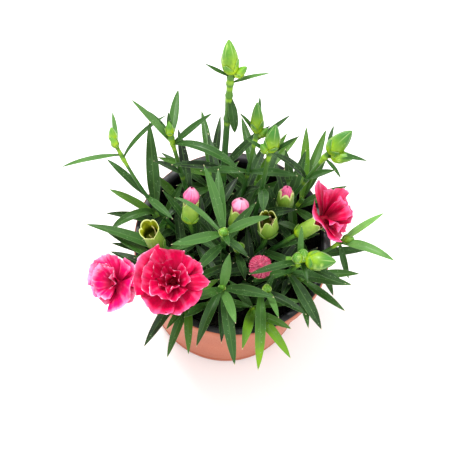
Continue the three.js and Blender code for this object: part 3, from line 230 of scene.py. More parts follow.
# petals of a bloom: (layer, turn, spread from the axis, length, opening of the fan, cupping)
BLOOMS = records("name stem seed paleness petals", [
    ("bloom_front", "stem_bloom_front", 7, 0.25, [
        (0, 256, 80, 26, 100, 45), (0.3, 210, 76, 22, 96, 45), (0.2, 166, 76, 19, 80, 20),
        (0, 132, 92, 19, 56, 10), (0.5, 94, 82, 22, 36, 0), (0, 38, 82, 22, 90, 30),
        (0, 330, 84, 22.5, 92, 30), (1, 276, 66, 22, 80, 45), (1.4, 224, 54, 18, 72, 60),
        (1.2, 326, 52, 18, 74, 10), (1.3, 28, 62, 16, 70, 30), (1.5, 116, 50, 15, 74, 15),
        (2.2, 262, 40, 14, 66, 70), (2.2, 4, 40, 13, 66, 40), (2.5, 140, 30, 12.5, 66, 30),
        (3, 230, 8, 9.5, 60, 30)
    ]),
    ("bloom_left", "stem_bloom_left", 15, 0.85, [
        (0, 218, 70, 20, 84, 18), (0.2, 254, 66, 16, 86, 15), (0.3, 182, 74, 18.5, 84, 25),
        (0, 140, 80, 15.5, 88, 15), (0.3, 104, 108, 15, 96, 10), (0.2, 300, 76, 13.5, 96, 20),
        (0, 30, 84, 18.5, 100, 10), (0.1, 66, 110, 13, 84, 0), (1, 206, 46, 15, 76, 10),
        (1.2, 244, 48, 13, 70, 10), (1.3, 136, 40, 14, 66, 10), (1.1, 320, 56, 13, 76, 10),
        (1.8, 80, 40, 12.5, 70, 5), (1, 42, 112, 16, 66, 0)
    ]),
    ("bloom_right", "stem_bloom_right", 23, 0.55, [
        (0, 4, 76, 24, 60, 10), (1, 330, 42, 22, 54, 10), (0.6, 296, 56, 19, 60, 15),
        (1, 274, 42, 18, 74, 20), (0.4, 236, 66, 15, 80, 15), (0, 120, 84, 15, 124, 0),
        (0.3, 200, 84, 15, 80, 10), (1.4, 158, 56, 14, 46, 0), (2, 262, 24, 15, 60, 10),
        (2, 352, 22, 15, 50, 5), (1, 344, 64, 18.5, 54, 15)
    ]),
])
BUD_TIPS = records("name stem reach bulge frill paleness", [
    ("bud_tip_left", "stem_bud_left", 8.4, 1.38, 0.12, 0.55),
    ("bud_tip_mid", "stem_bud_mid", 6.5, 1.34, 0.12, 0.95),
    ("bud_tip_right", "stem_bud_right", 3.6, 0.72, 0.12, 0.15),
    ("bud_tip_front", "stem_bud_front", 7.6, 1.66, 0.26, 0.4),
])

# ---------------------------------------------------------------- small sums

UP = np.array([0, 0, 1.0])


def mix(a, b, f):
    return a + (b - a) * f


def smooth(x):
    f = np.clip(x, 0, 1)
    return f * f * (3 - 2 * f)


def bell(x, width):
    return np.exp(-((x / width) ** 2))


def unit(a):
    return a / np.linalg.norm(a)


def heading(turn, rise):
    """Compass turn and rise over the horizon, in degrees, as a direction."""
    a, e = math.radians(turn), math.radians(rise)
    return np.array([math.cos(e) * math.cos(a), math.cos(e) * math.sin(a), math.sin(e)])


def axes(along):
    """Three unit vectors with `along` as the third."""
    helper = np.array([1.0, 0, 0]) if abs(along[2]) > 0.9 else UP
    across = unit(np.cross(helper, along))
    return across, np.cross(along, across), along


def draws(seed):
    """The part's repeatable draws between 0 and 1."""
    word_size = 0xFFFFFFFF
    state = seed & word_size

    def draw():
        nonlocal state
        state = (state + 0x6D2B79F5) & word_size
        word = ((state ^ (state >> 15)) * (state | 1)) & word_size
        word ^= (word + ((word ^ (word >> 7)) * (word | 61) & word_size)) & word_size
        return ((word ^ (word >> 14)) & word_size) / 4294967296

    return draw


# ---------------------------------------------------------------- where everything grows, as in the part


def along_path(path, f):
    root, bend, top = np.array(path, float)
    g = 1 - f
    return root * g * g + bend * 2 * f * g + top * f * f


def path_heading(path, f):
    root, bend, top = np.array(path, float)
    return unit((bend - root) * (1 - f) + (top - bend) * f)


def blade_half_width(width, s):
    widen = mix(LEAF_ROOT_WIDTH, 1, smooth(s / LEAF_WIDENED))
    past = np.clip((s - LEAF_TAPERS) / (1 - LEAF_TAPERS), 0, None)
    return 0.5 * width * widen * (1 - past**LEAF_TAPER_POWER)


def blade_frame(base, leaf, s):
    """Centres, sides and normals of a blade at the places `s` along it."""
    start, bend, turn, roll = (math.radians(leaf[key]) for key in ("rise", "droop", "turn", "roll"))
    angle = start - bend * s[:, None]
    out = leaf["length"] * (math.sin(start) - np.sin(angle)) / bend
    up = leaf["length"] * (np.cos(angle) - math.cos(start)) / bend
    flat = np.array([math.cos(turn), math.sin(turn), 0])
    side = np.array([-math.sin(turn), math.cos(turn), 0])
    normal = flat * -np.sin(angle) + UP * np.cos(angle)
    roll = roll * s[:, None]
    return (
        base + flat * out + UP * up,
        side * np.cos(roll) + normal * np.sin(roll),
        normal * np.cos(roll) - side * np.sin(roll),
    )


def blade_samples(base, leaf):
    first = min(4 / leaf["length"], 0.3)
    steps = math.ceil(leaf["length"] * (1 - first) / SAMPLE_STEP)
    s = first + (1 - first) * np.arange(steps + 1) / steps
    centre, side, _ = blade_frame(base, leaf, s)
    half = blade_half_width(leaf["width"], s) - 0.3
    wide = half > 0.9
    edge = side[wide] * half[wide][:, None]
    return np.concatenate([centre, centre[wide] + edge, centre[wide] - edge])


def head_stand(stem, head):
    """Where a head's stalk leaves the stem, and the head's stand: its foot and three axes."""
    f, turn, rise, stalk = head[:4]
    along = heading(turn, rise)
    root = along_path(stem["path"], f)
    return root, (root + along * stalk, axes(along))


def mouth_of(stem_name):
    """The stand of a bloom on the floor of its stem's open calyx, and the radius inside."""
    stem = next(one for one in STEMS if one["name"] == stem_name)
    head = stem["heads"][0]
    _, (base, frame_axes) = head_stand(stem, head)
    depth = head[4] - CALYX_DEPTH + GAP
    return (base + frame_axes[2] * depth, frame_axes), head[5] / 2 * CALYX_TAPER - CALYX_WALL - GAP


def bloom_petals(bloom):
    draw = draws(bloom["seed"])
    petals = records("layer turn spread length opening cup", bloom["petals"])
    for petal in petals:
        petal["roll"] = mix(24, 7, petal["layer"] / 3)
        petal["wave"] = PETAL_WAVE * (0.5 + draw()) * (1 + 0.4 * petal["layer"])
        petal["phase"] = 6.3 * draw()
    return petals


def petal_lean(petal, margin):
    """Angle of a petal from the bloom's axis: opening out from the claw, then cupped back."""
    lean, cup = math.radians(petal["spread"]), math.radians(petal["cup"])
    return lean * (0.6 + 0.4 * smooth(margin / 0.4)) - cup * smooth((margin - 0.4) / 0.6)


def petal_points(stand, petal, s, t, ruffle=0.0):
    """Points of a petal: `s` from claw to margin, `t` from -1 to 1 across, as arrays alike."""
    margin = s * (1 - PETAL_CORNER * t * t * s)
    step = petal["length"] * margin / PETAL_STEPS
    out = np.full(margin.shape, 0.6 * CORE_RADIUS)
    up = np.full(margin.shape, PETAL_RISE + LAYER_STEP * petal["layer"])
    for k in range(PETAL_STEPS):
        angle = petal_lean(petal, margin * (k + 0.5) / PETAL_STEPS)
        out += step * np.sin(angle)
        up += step * np.cos(angle)
    angle = petal_lean(petal, margin)
    fan = petal["length"] * s * math.tan(math.radians(petal["opening"] / 2)) * (1 - PETAL_NARROWS * s)
    roll = petal["roll"]
    bow = t * (CLAW_WIDTH / 2 + fan) / roll
    wave = petal["wave"] * s * s * np.sin(petal["phase"] + 4.5 * t)
    lift = roll * (1 - np.cos(bow)) + wave + ruffle
    turn = math.radians(petal["turn"])
    floor, (a, b, c) = stand
    radial = a * math.cos(turn) + b * math.sin(turn)
    lateral = b * math.cos(turn) - a * math.sin(turn)
    flat = (out - lift * np.cos(angle))[..., None] * radial
    high = (up + lift * np.sin(angle))[..., None] * c
    return floor + flat + high + (roll * np.sin(bow))[..., None] * lateral


def pot_radius(z):
    return mix(POT_BASE_RADIUS, WALL_TOP_RADIUS, z / LIP_FOOT)


def inner_radius(z):
    return mix(POT_BASE_RADIUS, WALL_TOP_RADIUS, (z - FLOOR_TOP) / (LIP_FOOT - FLOOR_TOP)) - POT_WALL


class Taken:
    """Spheres of everything already placed, for keeping blades clear of them."""

    def __init__(self):
        self.owners, self.points, self.reach = [], [], []

    def add(self, owner, points, reach):
        points = np.atleast_2d(points)
        self.owners += [owner] * len(points)
        self.points.append(points)
        self.reach.append(np.full(len(points), reach))

    def others(self, owner, base, length):
        """The spheres of other stems within reach of a blade from `base`."""
        points, reach = np.concatenate(self.points), np.concatenate(self.reach)
        self.points, self.reach = [points], [reach]
        near = np.linalg.norm(points - base, axis=1) < length + 20
        near &= np.array(self.owners) != owner
        return points[near], reach[near]


def touches_pot(points):
    reach, z = np.hypot(points[:, 0], points[:, 1]), points[:, 2]
    over = z > POT_HEIGHT + POT_CLEARANCE
    inside = (reach < pot_radius(z) - POT_WALL - POT_CLEARANCE) & (z > SOIL_TOP + SOIL_CLEARANCE)
    outside = reach > POT_RIM_RADIUS + POT_CLEARANCE
    return bool(np.any(~(over | inside | outside) | (z < SOIL_CLEARANCE)))


# Ways for a blade to bend clear, by turn (to both sides) and rise, and to be shorter.
BENDS = [(side * turn, rise) for turn, rise in (
    (0, 0), (6, 0), (0, 6), (0, -6), (12, 0), (8, 8), (0, 13), (18, 0), (0, -13), (14, 12), (24, 0),
    (0, 20), (20, 16), (12, -10), (30, 8), (10, 26), (36, 0), (30, 24), (24, -14), (46, 10), (0, 36),
) for side in ((1, -1) if turn else (1,))]
SHORTER = [1, 0.86, 0.7]


def place_blade(taken, stem, entry, index):
    f, turn, rise, length, width, droop = entry
    base = along_path(stem["path"], f)
    points, reach = taken.others(stem["name"], base, length)
    roll = LEAF_ROLL * math.sin(2.4 * index + 0.05 * turn)
    for short in SHORTER:
        for d_turn, d_rise in BENDS:
            leaf = {
                "turn": turn + d_turn, "rise": min(rise + d_rise, STEEPEST_LEAF),
                "length": length * short, "width": width, "droop": droop, "roll": roll,
            }
            samples = blade_samples(base, leaf)
            if touches_pot(samples):
                continue
            apart = np.linalg.norm(samples[:, None, :] - points[None, :, :], axis=2)
            if np.all(apart >= reach):
                taken.add(stem["name"], samples, LEAF_CLEARANCE)
                return {"base": base, "leaf": leaf, "index": index, "place": f}
    return None


def crown_shoots():
    draw = draws(CROWN_SEED)
    rows = []
    for k, turn in enumerate(CROWN_TURNS):
        out = heading(turn, 0)
        path = [out * (CROWN_RADIUS + far) + UP * (LEAN + high) for far, high in ((0, 0), (6, 3), (9, 10))]
        leaves = []
        for pair in range(2):
            for side in (0, 180):
                leaf_turn = turn + 90 * pair + side + 30 * (draw() - 0.5)
                leaves.append((0.95 - 0.35 * pair, leaf_turn, 40 + 20 * draw(), 24 + 12 * draw(), 5.2, 26))
        rows.append((f"shoot_crown_{k + 1}", 2.4, path, leaves, []))
    return records(STEM_FIELDS, rows)


# Small shaded leaves low on the stems, in among the listed ones.
INNER_SEED = 5
INNER_PLACES = (0.35, 0.2, 0.06)
INNER_LEAF = 90


def grow():
    """Every stem with the blades that found a clear place."""
    stems = STEMS + crown_shoots()
    taken = Taken()
    for stem in stems:
        for k in range(51):
            point = along_path(stem["path"], k * 0.02)
            taken.add(stem["name"], point, 0.5 * stem["girth"] + STEM_CLEARANCE)
        for head in stem["heads"]:
            stalk, length, width = head[3:6]
            root, (_, frame_axes) = head_stand(stem, head)
            for h in np.arange(0, stalk + length + 1e-9, 2):
                radius = 1.2 if h < stalk else width / 2
                taken.add(stem["name"], root + frame_axes[2] * h, radius + STEM_CLEARANCE)
    for tip in BUD_TIPS:
        (floor, frame_axes), radius = mouth_of(tip["stem"])
        for h in np.arange(0, PETAL_RISE + tip["reach"] + 1e-9, 2):
            taken.add(tip["name"], floor + frame_axes[2] * h, radius * tip["bulge"] + STEM_CLEARANCE)
    s, t = np.meshgrid(np.arange(0.3, 1.01, 0.14), np.arange(-1, 1.01, 0.25), indexing="ij")
    for bloom in BLOOMS:
        stand, _ = mouth_of(bloom["stem"])
        for petal in bloom_petals(bloom):
            taken.add(bloom["name"], petal_points(stand, petal, s, t).reshape(-1, 3), PETAL_CLEARANCE)
    grown = []
    for stem in stems:
        blades = [place_blade(taken, stem, entry, k) for k, entry in enumerate(stem["leaves"])]
        grown.append((stem, [blade for blade in blades if blade]))
    draw = draws(INNER_SEED)
    for f in INNER_PLACES:
        for stem, blades in grown:
            x, y, _ = stem["path"][0]
            reach = 0.5 * np.linalg.norm([x, y])
            side = 90 if draw() < 0.5 else -90
            turn = math.degrees(math.atan2(y, x)) + side + 50 * (draw() - 0.5)
            turn += 180 if draw() < 0.25 else 0
            entry = (f, turn, 20 + 40 * draw(), 20 + 12 * draw() - 0.1 * reach, 5.4, 34)
            blade = place_blade(taken, stem, entry, INNER_LEAF)
            if blade:
                blades.append(blade)
    return grown


# ---------------------------------------------------------------- meshes


class Shape:
    """Closed shells gathered in millimetres and made into one mesh.

    Each point carries a tint of four numbers that the materials read: a tone, a place
    along the shell, a place across it, and one more whose meaning is the material's own."""

    def __init__(self):
        self.points, self.tints, self.faces, self.slots = [], [], [], []
        self.count = 0

    def add(self, points, tints, faces, slot):
        points = points.reshape(-1, 3)
        self.points.append(points)
        self.tints.append(tints.reshape(-1, 4))
        self.faces += [(face + self.count).tolist() for face in faces]
        self.slots += [slot] * len(faces)
        self.count += len(points)

    def sheet(self, top, under, tints, slot):
        """A thin sheet from two grids of points, alike in rows and columns."""
        ids = numbered(*top.shape[:2])
        face = quads(ids[:-1, :-1], ids[1:, :-1], ids[1:, 1:], ids[:-1, 1:])
        back = quads(ids[:-1, :-1], ids[:-1, 1:], ids[1:, 1:], ids[1:, :-1]) + ids.size
        edge = np.concatenate([ids[0], ids[1:, -1], ids[-1, -2::-1], ids[-2:0:-1, 0]])
        ahead = np.roll(edge, -1)
        rim = quads(edge, ahead, ahead + ids.size, edge + ids.size)
        both = np.concatenate([top, under])
        self.add(both, np.concatenate([tints, tints]), [*face, *back, *rim], slot)

    def tube(self, rings, tints, slot):
        """A skin over rings of points, closed at both ends."""
        ids = numbered(*rings.shape[:2])
        ahead = np.roll(ids, -1, axis=1)
        skin = quads(ids[:-1], ahead[:-1], ahead[1:], ids[1:])
        self.add(rings, tints, [*skin, ids[0, ::-1], ids[-1]], slot)

    def turned(self, stand, height, radius, angle, values, slot):
        """A closed skin round the axis of a stand."""
        rings = round_axis(stand, height, radius, angle)
        self.tube(rings, tint(*values, rings.shape[:2]), slot)

    def wrapped(self, stand, height, outside, inside, angle, values, slot):
        """A thin sheet round the axis of a stand, from its outer and inner radius."""
        face, back = (round_axis(stand, height, radius, angle) for radius in (outside, inside))
        self.sheet(face, back, tint(*values, face.shape[:2]), slot)

    def make(self, name, materials, sharp=50):
        mesh = bpy.data.meshes.new(name)
        mesh.from_pydata((np.concatenate(self.points) * MM).tolist(), [], self.faces)
        tints = mesh.attributes.new("tint", "FLOAT_COLOR", "POINT")
        tints.data.foreach_set("color", np.concatenate(self.tints).ravel())
        for material in materials:
            mesh.materials.append(material)
        mesh.polygons.foreach_set("material_index", self.slots)
        mesh.polygons.foreach_set("use_smooth", [True] * len(mesh.polygons))
        mesh.set_sharp_from_angle(angle=math.radians(sharp))
        mesh.update()
        obj = bpy.data.objects.new(name, mesh)
        bpy.context.scene.collection.objects.link(obj)
        return obj


def numbered(rows, columns):
    return np.arange(rows * columns).reshape(rows, columns)


def quads(a, b, c, d):
    """Faces of four corners, from arrays of the numbers of their corners."""
    return np.stack([a, b, c, d], axis=-1).reshape(-1, 4)


def tint(tone, along, across, extra, shape):
    """One tint for every point of a grid, each number given once or as an array."""
    return np.stack([np.broadcast_to(value, shape) for value in (tone, along, across, extra)], axis=-1)


def curve(table, x):
    """A smooth line through the points of a table, read at x."""
    xs, ys = np.array(table, float).T
    slope = np.gradient(ys, xs)
    k = np.clip(np.searchsorted(xs, x, side="right") - 1, 0, len(xs) - 2)
    width = xs[k + 1] - xs[k]
    f = np.clip((x - xs[k]) / width, 0, 1)
    g = 1 - f
    level = ys[k] * (1 + 2 * f) * g * g + ys[k + 1] * f * f * (3 - 2 * f)
    return level + width * (slope[k] * f * g * g - slope[k + 1] * f * f * g)


def circle(sides):
    """The angles of a full turn, as a row."""
    return np.linspace(0, 2 * math.pi, sides, endpoint=False)[None, :]


def grid(rows, columns):
    """Places from 0 to 1 down the rows, and from -1 to 1 across the columns."""
    return np.linspace(0, 1, rows)[:, None], np.linspace(-1, 1, columns)[None, :]


def round_axis(stand, height, radius, angle):
    """Points by height and radius round the axis of a stand, from arrays that broadcast together."""
    foot, (a, b, c) = stand
    height, radius, angle = np.broadcast_arrays(height, radius, angle)
    flat = (radius * np.cos(angle))[..., None] * a + (radius * np.sin(angle))[..., None] * b
    return foot + flat + height[..., None] * c


# ---------------------------------------------------------------- leaves and stems

LEAF_ROWS, LEAF_COLUMNS = 26, 11
LEAF_THICKNESS = 0.22
MIDRIB_DEPTH = 0.2
KEEL_DEPTH = 0.5
STEM_SIDES = 14
STEM_STEP = 1.4
JOINT_SWELLS, SHEATH_SWELLS = 0.3, 0.1


def add_leaf(shape, blade, tone, rng):
    """A channelled blade with a sunk midrib, a keel under it and thin waved edges."""
    leaf = blade["leaf"]
    s = 1 - (1 - np.linspace(0, 1, LEAF_ROWS)) ** 1.15
    u = np.linspace(-1, 1, LEAF_COLUMNS)
    centre, side, normal = (row[:, None, :] for row in blade_frame(blade["base"], leaf, s))
    s = s[:, None]
    half = np.maximum(blade_half_width(leaf["width"], s), 0.06)
    half = half * (1 + 0.025 * np.sin(rng.uniform(5, 11) * s + rng.uniform(0, 6)))
    sickle = rng.uniform(-0.7, 0.7) * np.sin(math.pi * s) + rng.uniform(-0.6, 0.6) * s * s
    curl = rng.uniform(-0.9, 0.5) * s**4
    wave = rng.uniform(0.05, 0.22)
    phase, _ = rng.uniform(0, 6, 2)
    out = np.abs(u)
    edge = wave * np.sin(9 * s + phase + 1.2 * np.sign(u)) * out**2 * np.sin(math.pi * s)
    fold = LEAF_FOLD * (1 + 0.9 * np.exp(-s / 0.1))
    lift = fold * half * out**1.55 + edge + curl - MIDRIB_DEPTH * bell(u, 0.11) * np.sqrt(1 - s)
    keel = bell(u, 0.24) * (1 - 0.75 * s)
    depth = np.minimum(LEAF_THICKNESS, half * 0.5) + KEEL_DEPTH * keel
    middle = centre + (half * u + sickle)[..., None] * side
    top = middle + lift[..., None] * normal
    under = middle + (lift - depth)[..., None] * normal
    shape.sheet(top, under, tint(tone, s, out, 0, lift.shape), 0)


def add_stem(shape, stem, tone):
    """A round stem with a swollen joint, pale beneath, under each pair of leaves."""
    path, thick = stem["path"], stem["girth"] / 2
    joints = sorted({leaf[0] for leaf in stem["leaves"]})
    root = along_path(path, 0)
    length = np.linalg.norm(along_path(path, 1) - root)
    f = [np.linspace(0, 1, max(18, int(length / STEM_STEP)))]
    f += [np.clip([joint - 2.2 / length, joint, joint + 1.2 / length], 0, 1) for joint in joints]
    f = np.unique(np.concatenate(f))
    radius = thick * mix(1, STEM_TAPER, f)
    pale = np.zeros_like(f)
    for joint in joints:
        gap = (f - joint) * length
        radius *= 1 + JOINT_SWELLS * bell(gap, 1.7) + SHEATH_SWELLS * bell(gap + 3.2, 2.4)
        pale = np.maximum(pale, bell(gap + 3.0, 2.4) * joint)
    sunk = [np.array([root[0], root[1], z]) for z in (SOIL_TOP - ROOT_DEPTH + 0.2, SOIL_TOP - 3, SOIL_TOP)]
    points = sunk + [along_path(path, g) for g in f]
    ahead = [UP] * 3 + [path_heading(path, g) for g in f]
    radius, pale, place = (
        np.concatenate([[low] * 3, row])[:, None] for low, row in ((thick, radius), (0, pale), (0, f)))
    rings = []
    for point, along, r in zip(points, ahead, radius):
        across = unit(np.cross([0, 1.0, 0], along))
        stand = (point, (across, np.cross(along, across), along))
        rings.append(round_axis(stand, 0, r, circle(STEM_SIDES)[0]))
    rings = np.array(rings)
    shape.tube(rings, tint(tone, place, 0.5, pale, rings.shape[:2]), 1)


# ---------------------------------------------------------------- heads

BUD_OUTLINE = [
    (-0.05, 0.24), (-0.02, 0.44), (0.04, 0.68), (0.14, 0.9), (0.28, 1.0), (0.42, 0.99),
    (0.58, 0.88), (0.74, 0.68), (0.87, 0.42), (0.96, 0.17), (1.0, 0.03),
]
BUD_GROOVE, BUD_RIB = 0.16, 0.012
BUD_BRACTS = ((0.46, 0.95, 1), (0.33, 1.1, 1.04))
CALYX_OUTLINE = [
    (-0.06, 0.3), (0, 0.5), (0.07, 0.78), (0.17, 0.95), (0.3, 1.0), (0.6, 0.99), (0.85, 0.96), (1.05, 0.95),
]
CALYX_ROWS, CALYX_SIDES = 24, 80
CALYX_BRACTS = ((0.4, 0.9, 1.01), (0.28, 1.05, 1.05))
SPLIT_TURN = 2 * math.pi * 0.9


def add_bracts(shape, stand, outline, half, length, pairs, wobble, flare, tone, rng):
    """Two crossed pairs of pointed scales that clasp the foot of a head.

    Each pair has its reach along the head, its spread, and its distance from the axis."""
    v, u = grid(13, 11)
    first = rng.uniform(0, 3)
    for pair, (reach, spread, away) in enumerate(pairs):
        for k in range(2):
            share = v * (reach + (rng.uniform(-wobble, wobble) if wobble else 0))
            width = spread * np.clip(1 - v**1.7, 0.01, 1) * (0.75 + 0.5 * v)
            radius = half * away * curve(outline, np.clip(share, 0, 1))
            radius = radius + 0.22 + flare * v**3 * (1 - 0.5 * np.abs(u)) + 0.1 * (1 - np.abs(u)) * (1 - v)
            angle = first + math.pi * (k + 0.5 * pair) + u * width
            values = (np.clip(tone, 0, 1), v, np.abs(u), 1)
            shape.wrapped(stand, share * length, radius + 0.16, radius - 0.1, angle, values, 2)


def add_bud(shape, stand, length, width, tone, rng):
    """A closed bud: five sepals pressed together over paired bracts."""
    half = width / 2
    rows, sides = (16, 20) if width < 6 else (30, 40)
    h = 1 - (1 - np.linspace(0, 1, rows)[:, None]) ** 1.1
    h = -0.05 + 1.05 * h
    angle = circle(sides)
    seam = np.cos(2.5 * angle) ** 2
    groove = smooth((h - 0.5) / 0.4)
    ribs = BUD_RIB * np.cos(20 * angle) * (1 - groove)
    radius = half * curve(BUD_OUTLINE, h) * (1 - BUD_GROOVE * groove * (1 - np.sqrt(seam)) + ribs)
    shape.turned(stand, h * length, radius, angle, (tone, np.clip(h, 0, 1), 1 - seam, 0), 2)
    add_bracts(shape, stand, BUD_OUTLINE, half, length, BUD_BRACTS, 0.04, 0.35, tone - 0.12, rng)


def add_calyx(shape, stand, length, width, kind, mouth, tone, rng):
    """A tubular calyx, open at a mouth of five teeth. `mouth` is a row of MOUTHS."""
    half = width / 2
    tooth, lean, blunt, edge, flare, rise, split = mouth
    angle = circle(CALYX_SIDES)
    point = np.abs(((angle / (2 * math.pi) * CALYX_TEETH) % 1) * 2 - 1)
    back = 0.5 - 0.5 * np.cos(angle)
    lean = half * lean * (1 + flare * back)
    top = length - tooth * (1 - np.sin(0.5 * math.pi * point) ** blunt) + rise * back
    top = top - split * bell(angle - SPLIT_TURN, 0.3)
    start, foot = length - tooth, -0.05 * length
    height = foot + np.linspace(0, 1, CALYX_ROWS)[:, None] * (top - foot)
    ribs = 1 + 0.01 * np.cos(20 * angle)
    outside = half * curve(CALYX_OUTLINE, height / length) * ribs
    outside = mix(outside, lean, smooth((height - start) / tooth))
    inner_half = half * CALYX_TAPER - CALYX_WALL + 0.25
    down = np.linspace(0, 1, 9)[1:, None] * np.ones_like(angle)
    floor = length - TOOTH_LENGTH[kind] - CALYX_RECESS
    inner_height = top + down**1.5 * (floor - top)
    inside = mix(inner_half, lean - 0.4, smooth((inner_height - start) / tooth))
    rim = smooth((height - top + edge) / edge), np.maximum(0, 1 - (top - inner_height) / edge)
    place = np.clip(height / length, 0, 1), 1 - down
    hollow = np.zeros_like(height), -np.ones_like(down)
    height, radius, place, rim, hollow = (
        np.concatenate(pair) for pair in ((height, inner_height), (outside, inside), place, rim, hollow))
    shape.turned(stand, height, radius, angle, (tone, place, rim, hollow), 3)
    add_bracts(shape, stand, CALYX_OUTLINE, half, length, CALYX_BRACTS, 0, 0.12, tone - 0.1, rng)
    return floor, inner_half


def add_withered(shape, stand, floor, top, radius, strips, rng):
    """Shrivelled petal strips in a spent calyx: (turn, reach, width, height of its tip, tone) each."""
    v, u = grid(12, 7)
    for turn, reach, width, high, tone in strips:
        bend = reach * smooth(v) + 0.25 * np.sin(7 * v + rng.uniform(0, 6))
        out = radius * 0.55 + (radius * 0.35 + bend) * v + 0.3 * np.abs(u)
        angle = math.radians(turn) + 0.3 * np.sin(3 * v + turn) * v + u * width * (1 - 0.55 * v)
        height = floor + (top + high - floor) * v + 0.3 * u * np.sin(5 * v + turn)
        shape.wrapped(stand, height, out, out - 0.2, angle, (tone, v, np.abs(u), 2), 4)


# Mouths of the calyces: length of the teeth, radius that they lean to over that of the calyx, how
# fast they widen from the slits between them, width of their pale edge, how much wider and higher
# the mouth is at the back, and how deep it is split at the front.
MOUTHS = {
    "stem_spent_left": (2.8, 1.02, 0.7, 1.3, 0.25, 3.0, 0),
    "stem_spent_right": (4.6, 0.82, 0.4, 1.1, 0, 0, 7),
    "stem_bud_left": (3.4, 1.05, 0.9, 1.4, 0, 0, 0),
    "stem_bud_mid": (3.6, 0.96, 0.8, 1.8, 0, 0, 0),
    "stem_bud_right": (3.2, 0.66, 0.6, 2.2, 0, 0, 0),
    "stem_bud_front": (2.6, 1.02, 0.9, 1.0, 0, 0, 0),
}
BLOOM_MOUTH = (2.2, 1.0, 1.3, 1.2, 0, 0, 0)
STRIPS = {
    "stem_spent_left": [(130, -0.6, 0.65, 0.2, 1.0), (20, -2.4, 0.3, -1.6, 0.75)],
    "stem_spent_right": [
        (35, 1.4, 0.3, 1.6, 0.3), (150, -2.2, 0.4, -1.2, 0.15), (265, -1.2, 0.4, -1.4, 0.2),
        (60, -0.4, 0.3, 0.2, 0.5),
    ],
}


def add_head(shape, stem, head, tone, rng):
    """A bud or calyx, on a stalk where it has one."""
    stalk, length, width, kind = head[3:]
    root, stand = head_stand(stem, head)
    if stalk > 0:
        h = np.linspace(0, stalk + 1, 6)[:, None]
        radius = max(0.75, width * 0.13) * (1 + 0.25 * (h / (stalk + 1)) ** 4)
        shape.turned((root, stand[1]), h, radius, circle(10), (tone, 0.9, 0.5, 0.6), 1)
    if kind == "bud":
        add_bud(shape, stand, length, width, tone, rng)
        return
    mouth = MOUTHS.get(stem["name"], BLOOM_MOUTH)
    floor, inner = add_calyx(shape, stand, length, width, kind, mouth, tone, rng)
    add_withered(shape, stand, floor, length, inner, STRIPS.get(stem["name"], []), rng)


# ---------------------------------------------------------------- petals

PETAL_ROWS, PETAL_COLUMNS = 22, 27
PETAL_SHEET = 0.26
SCALLOP, NOTCH = 0.018, 0.035
TIP_ROWS, TIP_SIDES = 34, 72
CRIMPED_PETALS, FURLED_PETALS = 13, 5
# A furled tip over the mouth of its calyx: (share of its reach, share of its bulge).
TIP_OUTLINE = [(0.12, 0.97), (0.28, 1), (0.45, 0.87), (0.62, 0.66), (0.8, 0.41), (0.92, 0.22), (1, 0.1)]


def add_petal(shape, stand, petal, paleness, rng):
    """A soft petal with a wavy, faintly scalloped margin."""
    s = 1 - (1 - np.linspace(0, 1, PETAL_ROWS)) ** 1.2
    s, t = np.meshgrid(s, np.linspace(-1, 1, PETAL_COLUMNS), indexing="ij")

    def ripple(low, high):
        return np.sin(rng.uniform(low, high) * t + rng.uniform(0, 6))

    scallop = SCALLOP * ripple(9, 13) + 0.01 * np.sin(27 * t + rng.uniform(0, 6))
    notch = -NOTCH * bell(t - rng.uniform(-0.4, 0.4), 0.14)
    s = s * (1 + (scallop + notch) * s**6)
    ruffle = s**3 * (petal["wave"] * 0.5 * ripple(6, 9) + 0.16 * ripple(14, 18))
    ruffle = ruffle + 0.35 * np.sin(3.2 * t + rng.uniform(0, 6)) * np.sin(math.pi * s)
    ruffle = ruffle + 0.3 * ripple(8, 11) * s * np.sqrt(1.001 - s)
    middle = petal_points(stand, petal, s, t, ruffle)
    normal = np.cross(np.gradient(middle, axis=0), np.gradient(middle, axis=1))
    normal /= np.maximum(np.linalg.norm(normal, axis=2, keepdims=True), 1e-9)
    half = normal * PETAL_SHEET * (1.25 - 0.5 * s)[..., None] / 2
    shape.sheet(middle + half, middle - half, tint(paleness, s, np.abs(t), 0.5 + 0.5 * t, s.shape), 0)


def bloom_shape(bloom):
    """Layered petals round the tube of their claws, which stands in the calyx."""
    stand, inner = mouth_of(bloom["stem"])
    shape = Shape()
    rng = np.random.default_rng(bloom["seed"])
    angle = circle(20)
    h = np.linspace(0.1, PETAL_RISE + 2.5 * LAYER_STEP, 12)[:, None]
    radius = mix(inner, CORE_RADIUS * 0.6, smooth((h - PETAL_RISE) / 4))
    radius = radius * (1 + 0.05 * np.cos(5 * angle + h))
    shape.turned(stand, h, radius, angle, (0.6, 0.05, 0.5, 0.5), 0)
    for petal in bloom_petals(bloom):
        paleness = np.clip(bloom["paleness"] + rng.uniform(-0.15, 0.15), 0, 1)
        add_petal(shape, stand, petal, paleness, rng)
    return shape


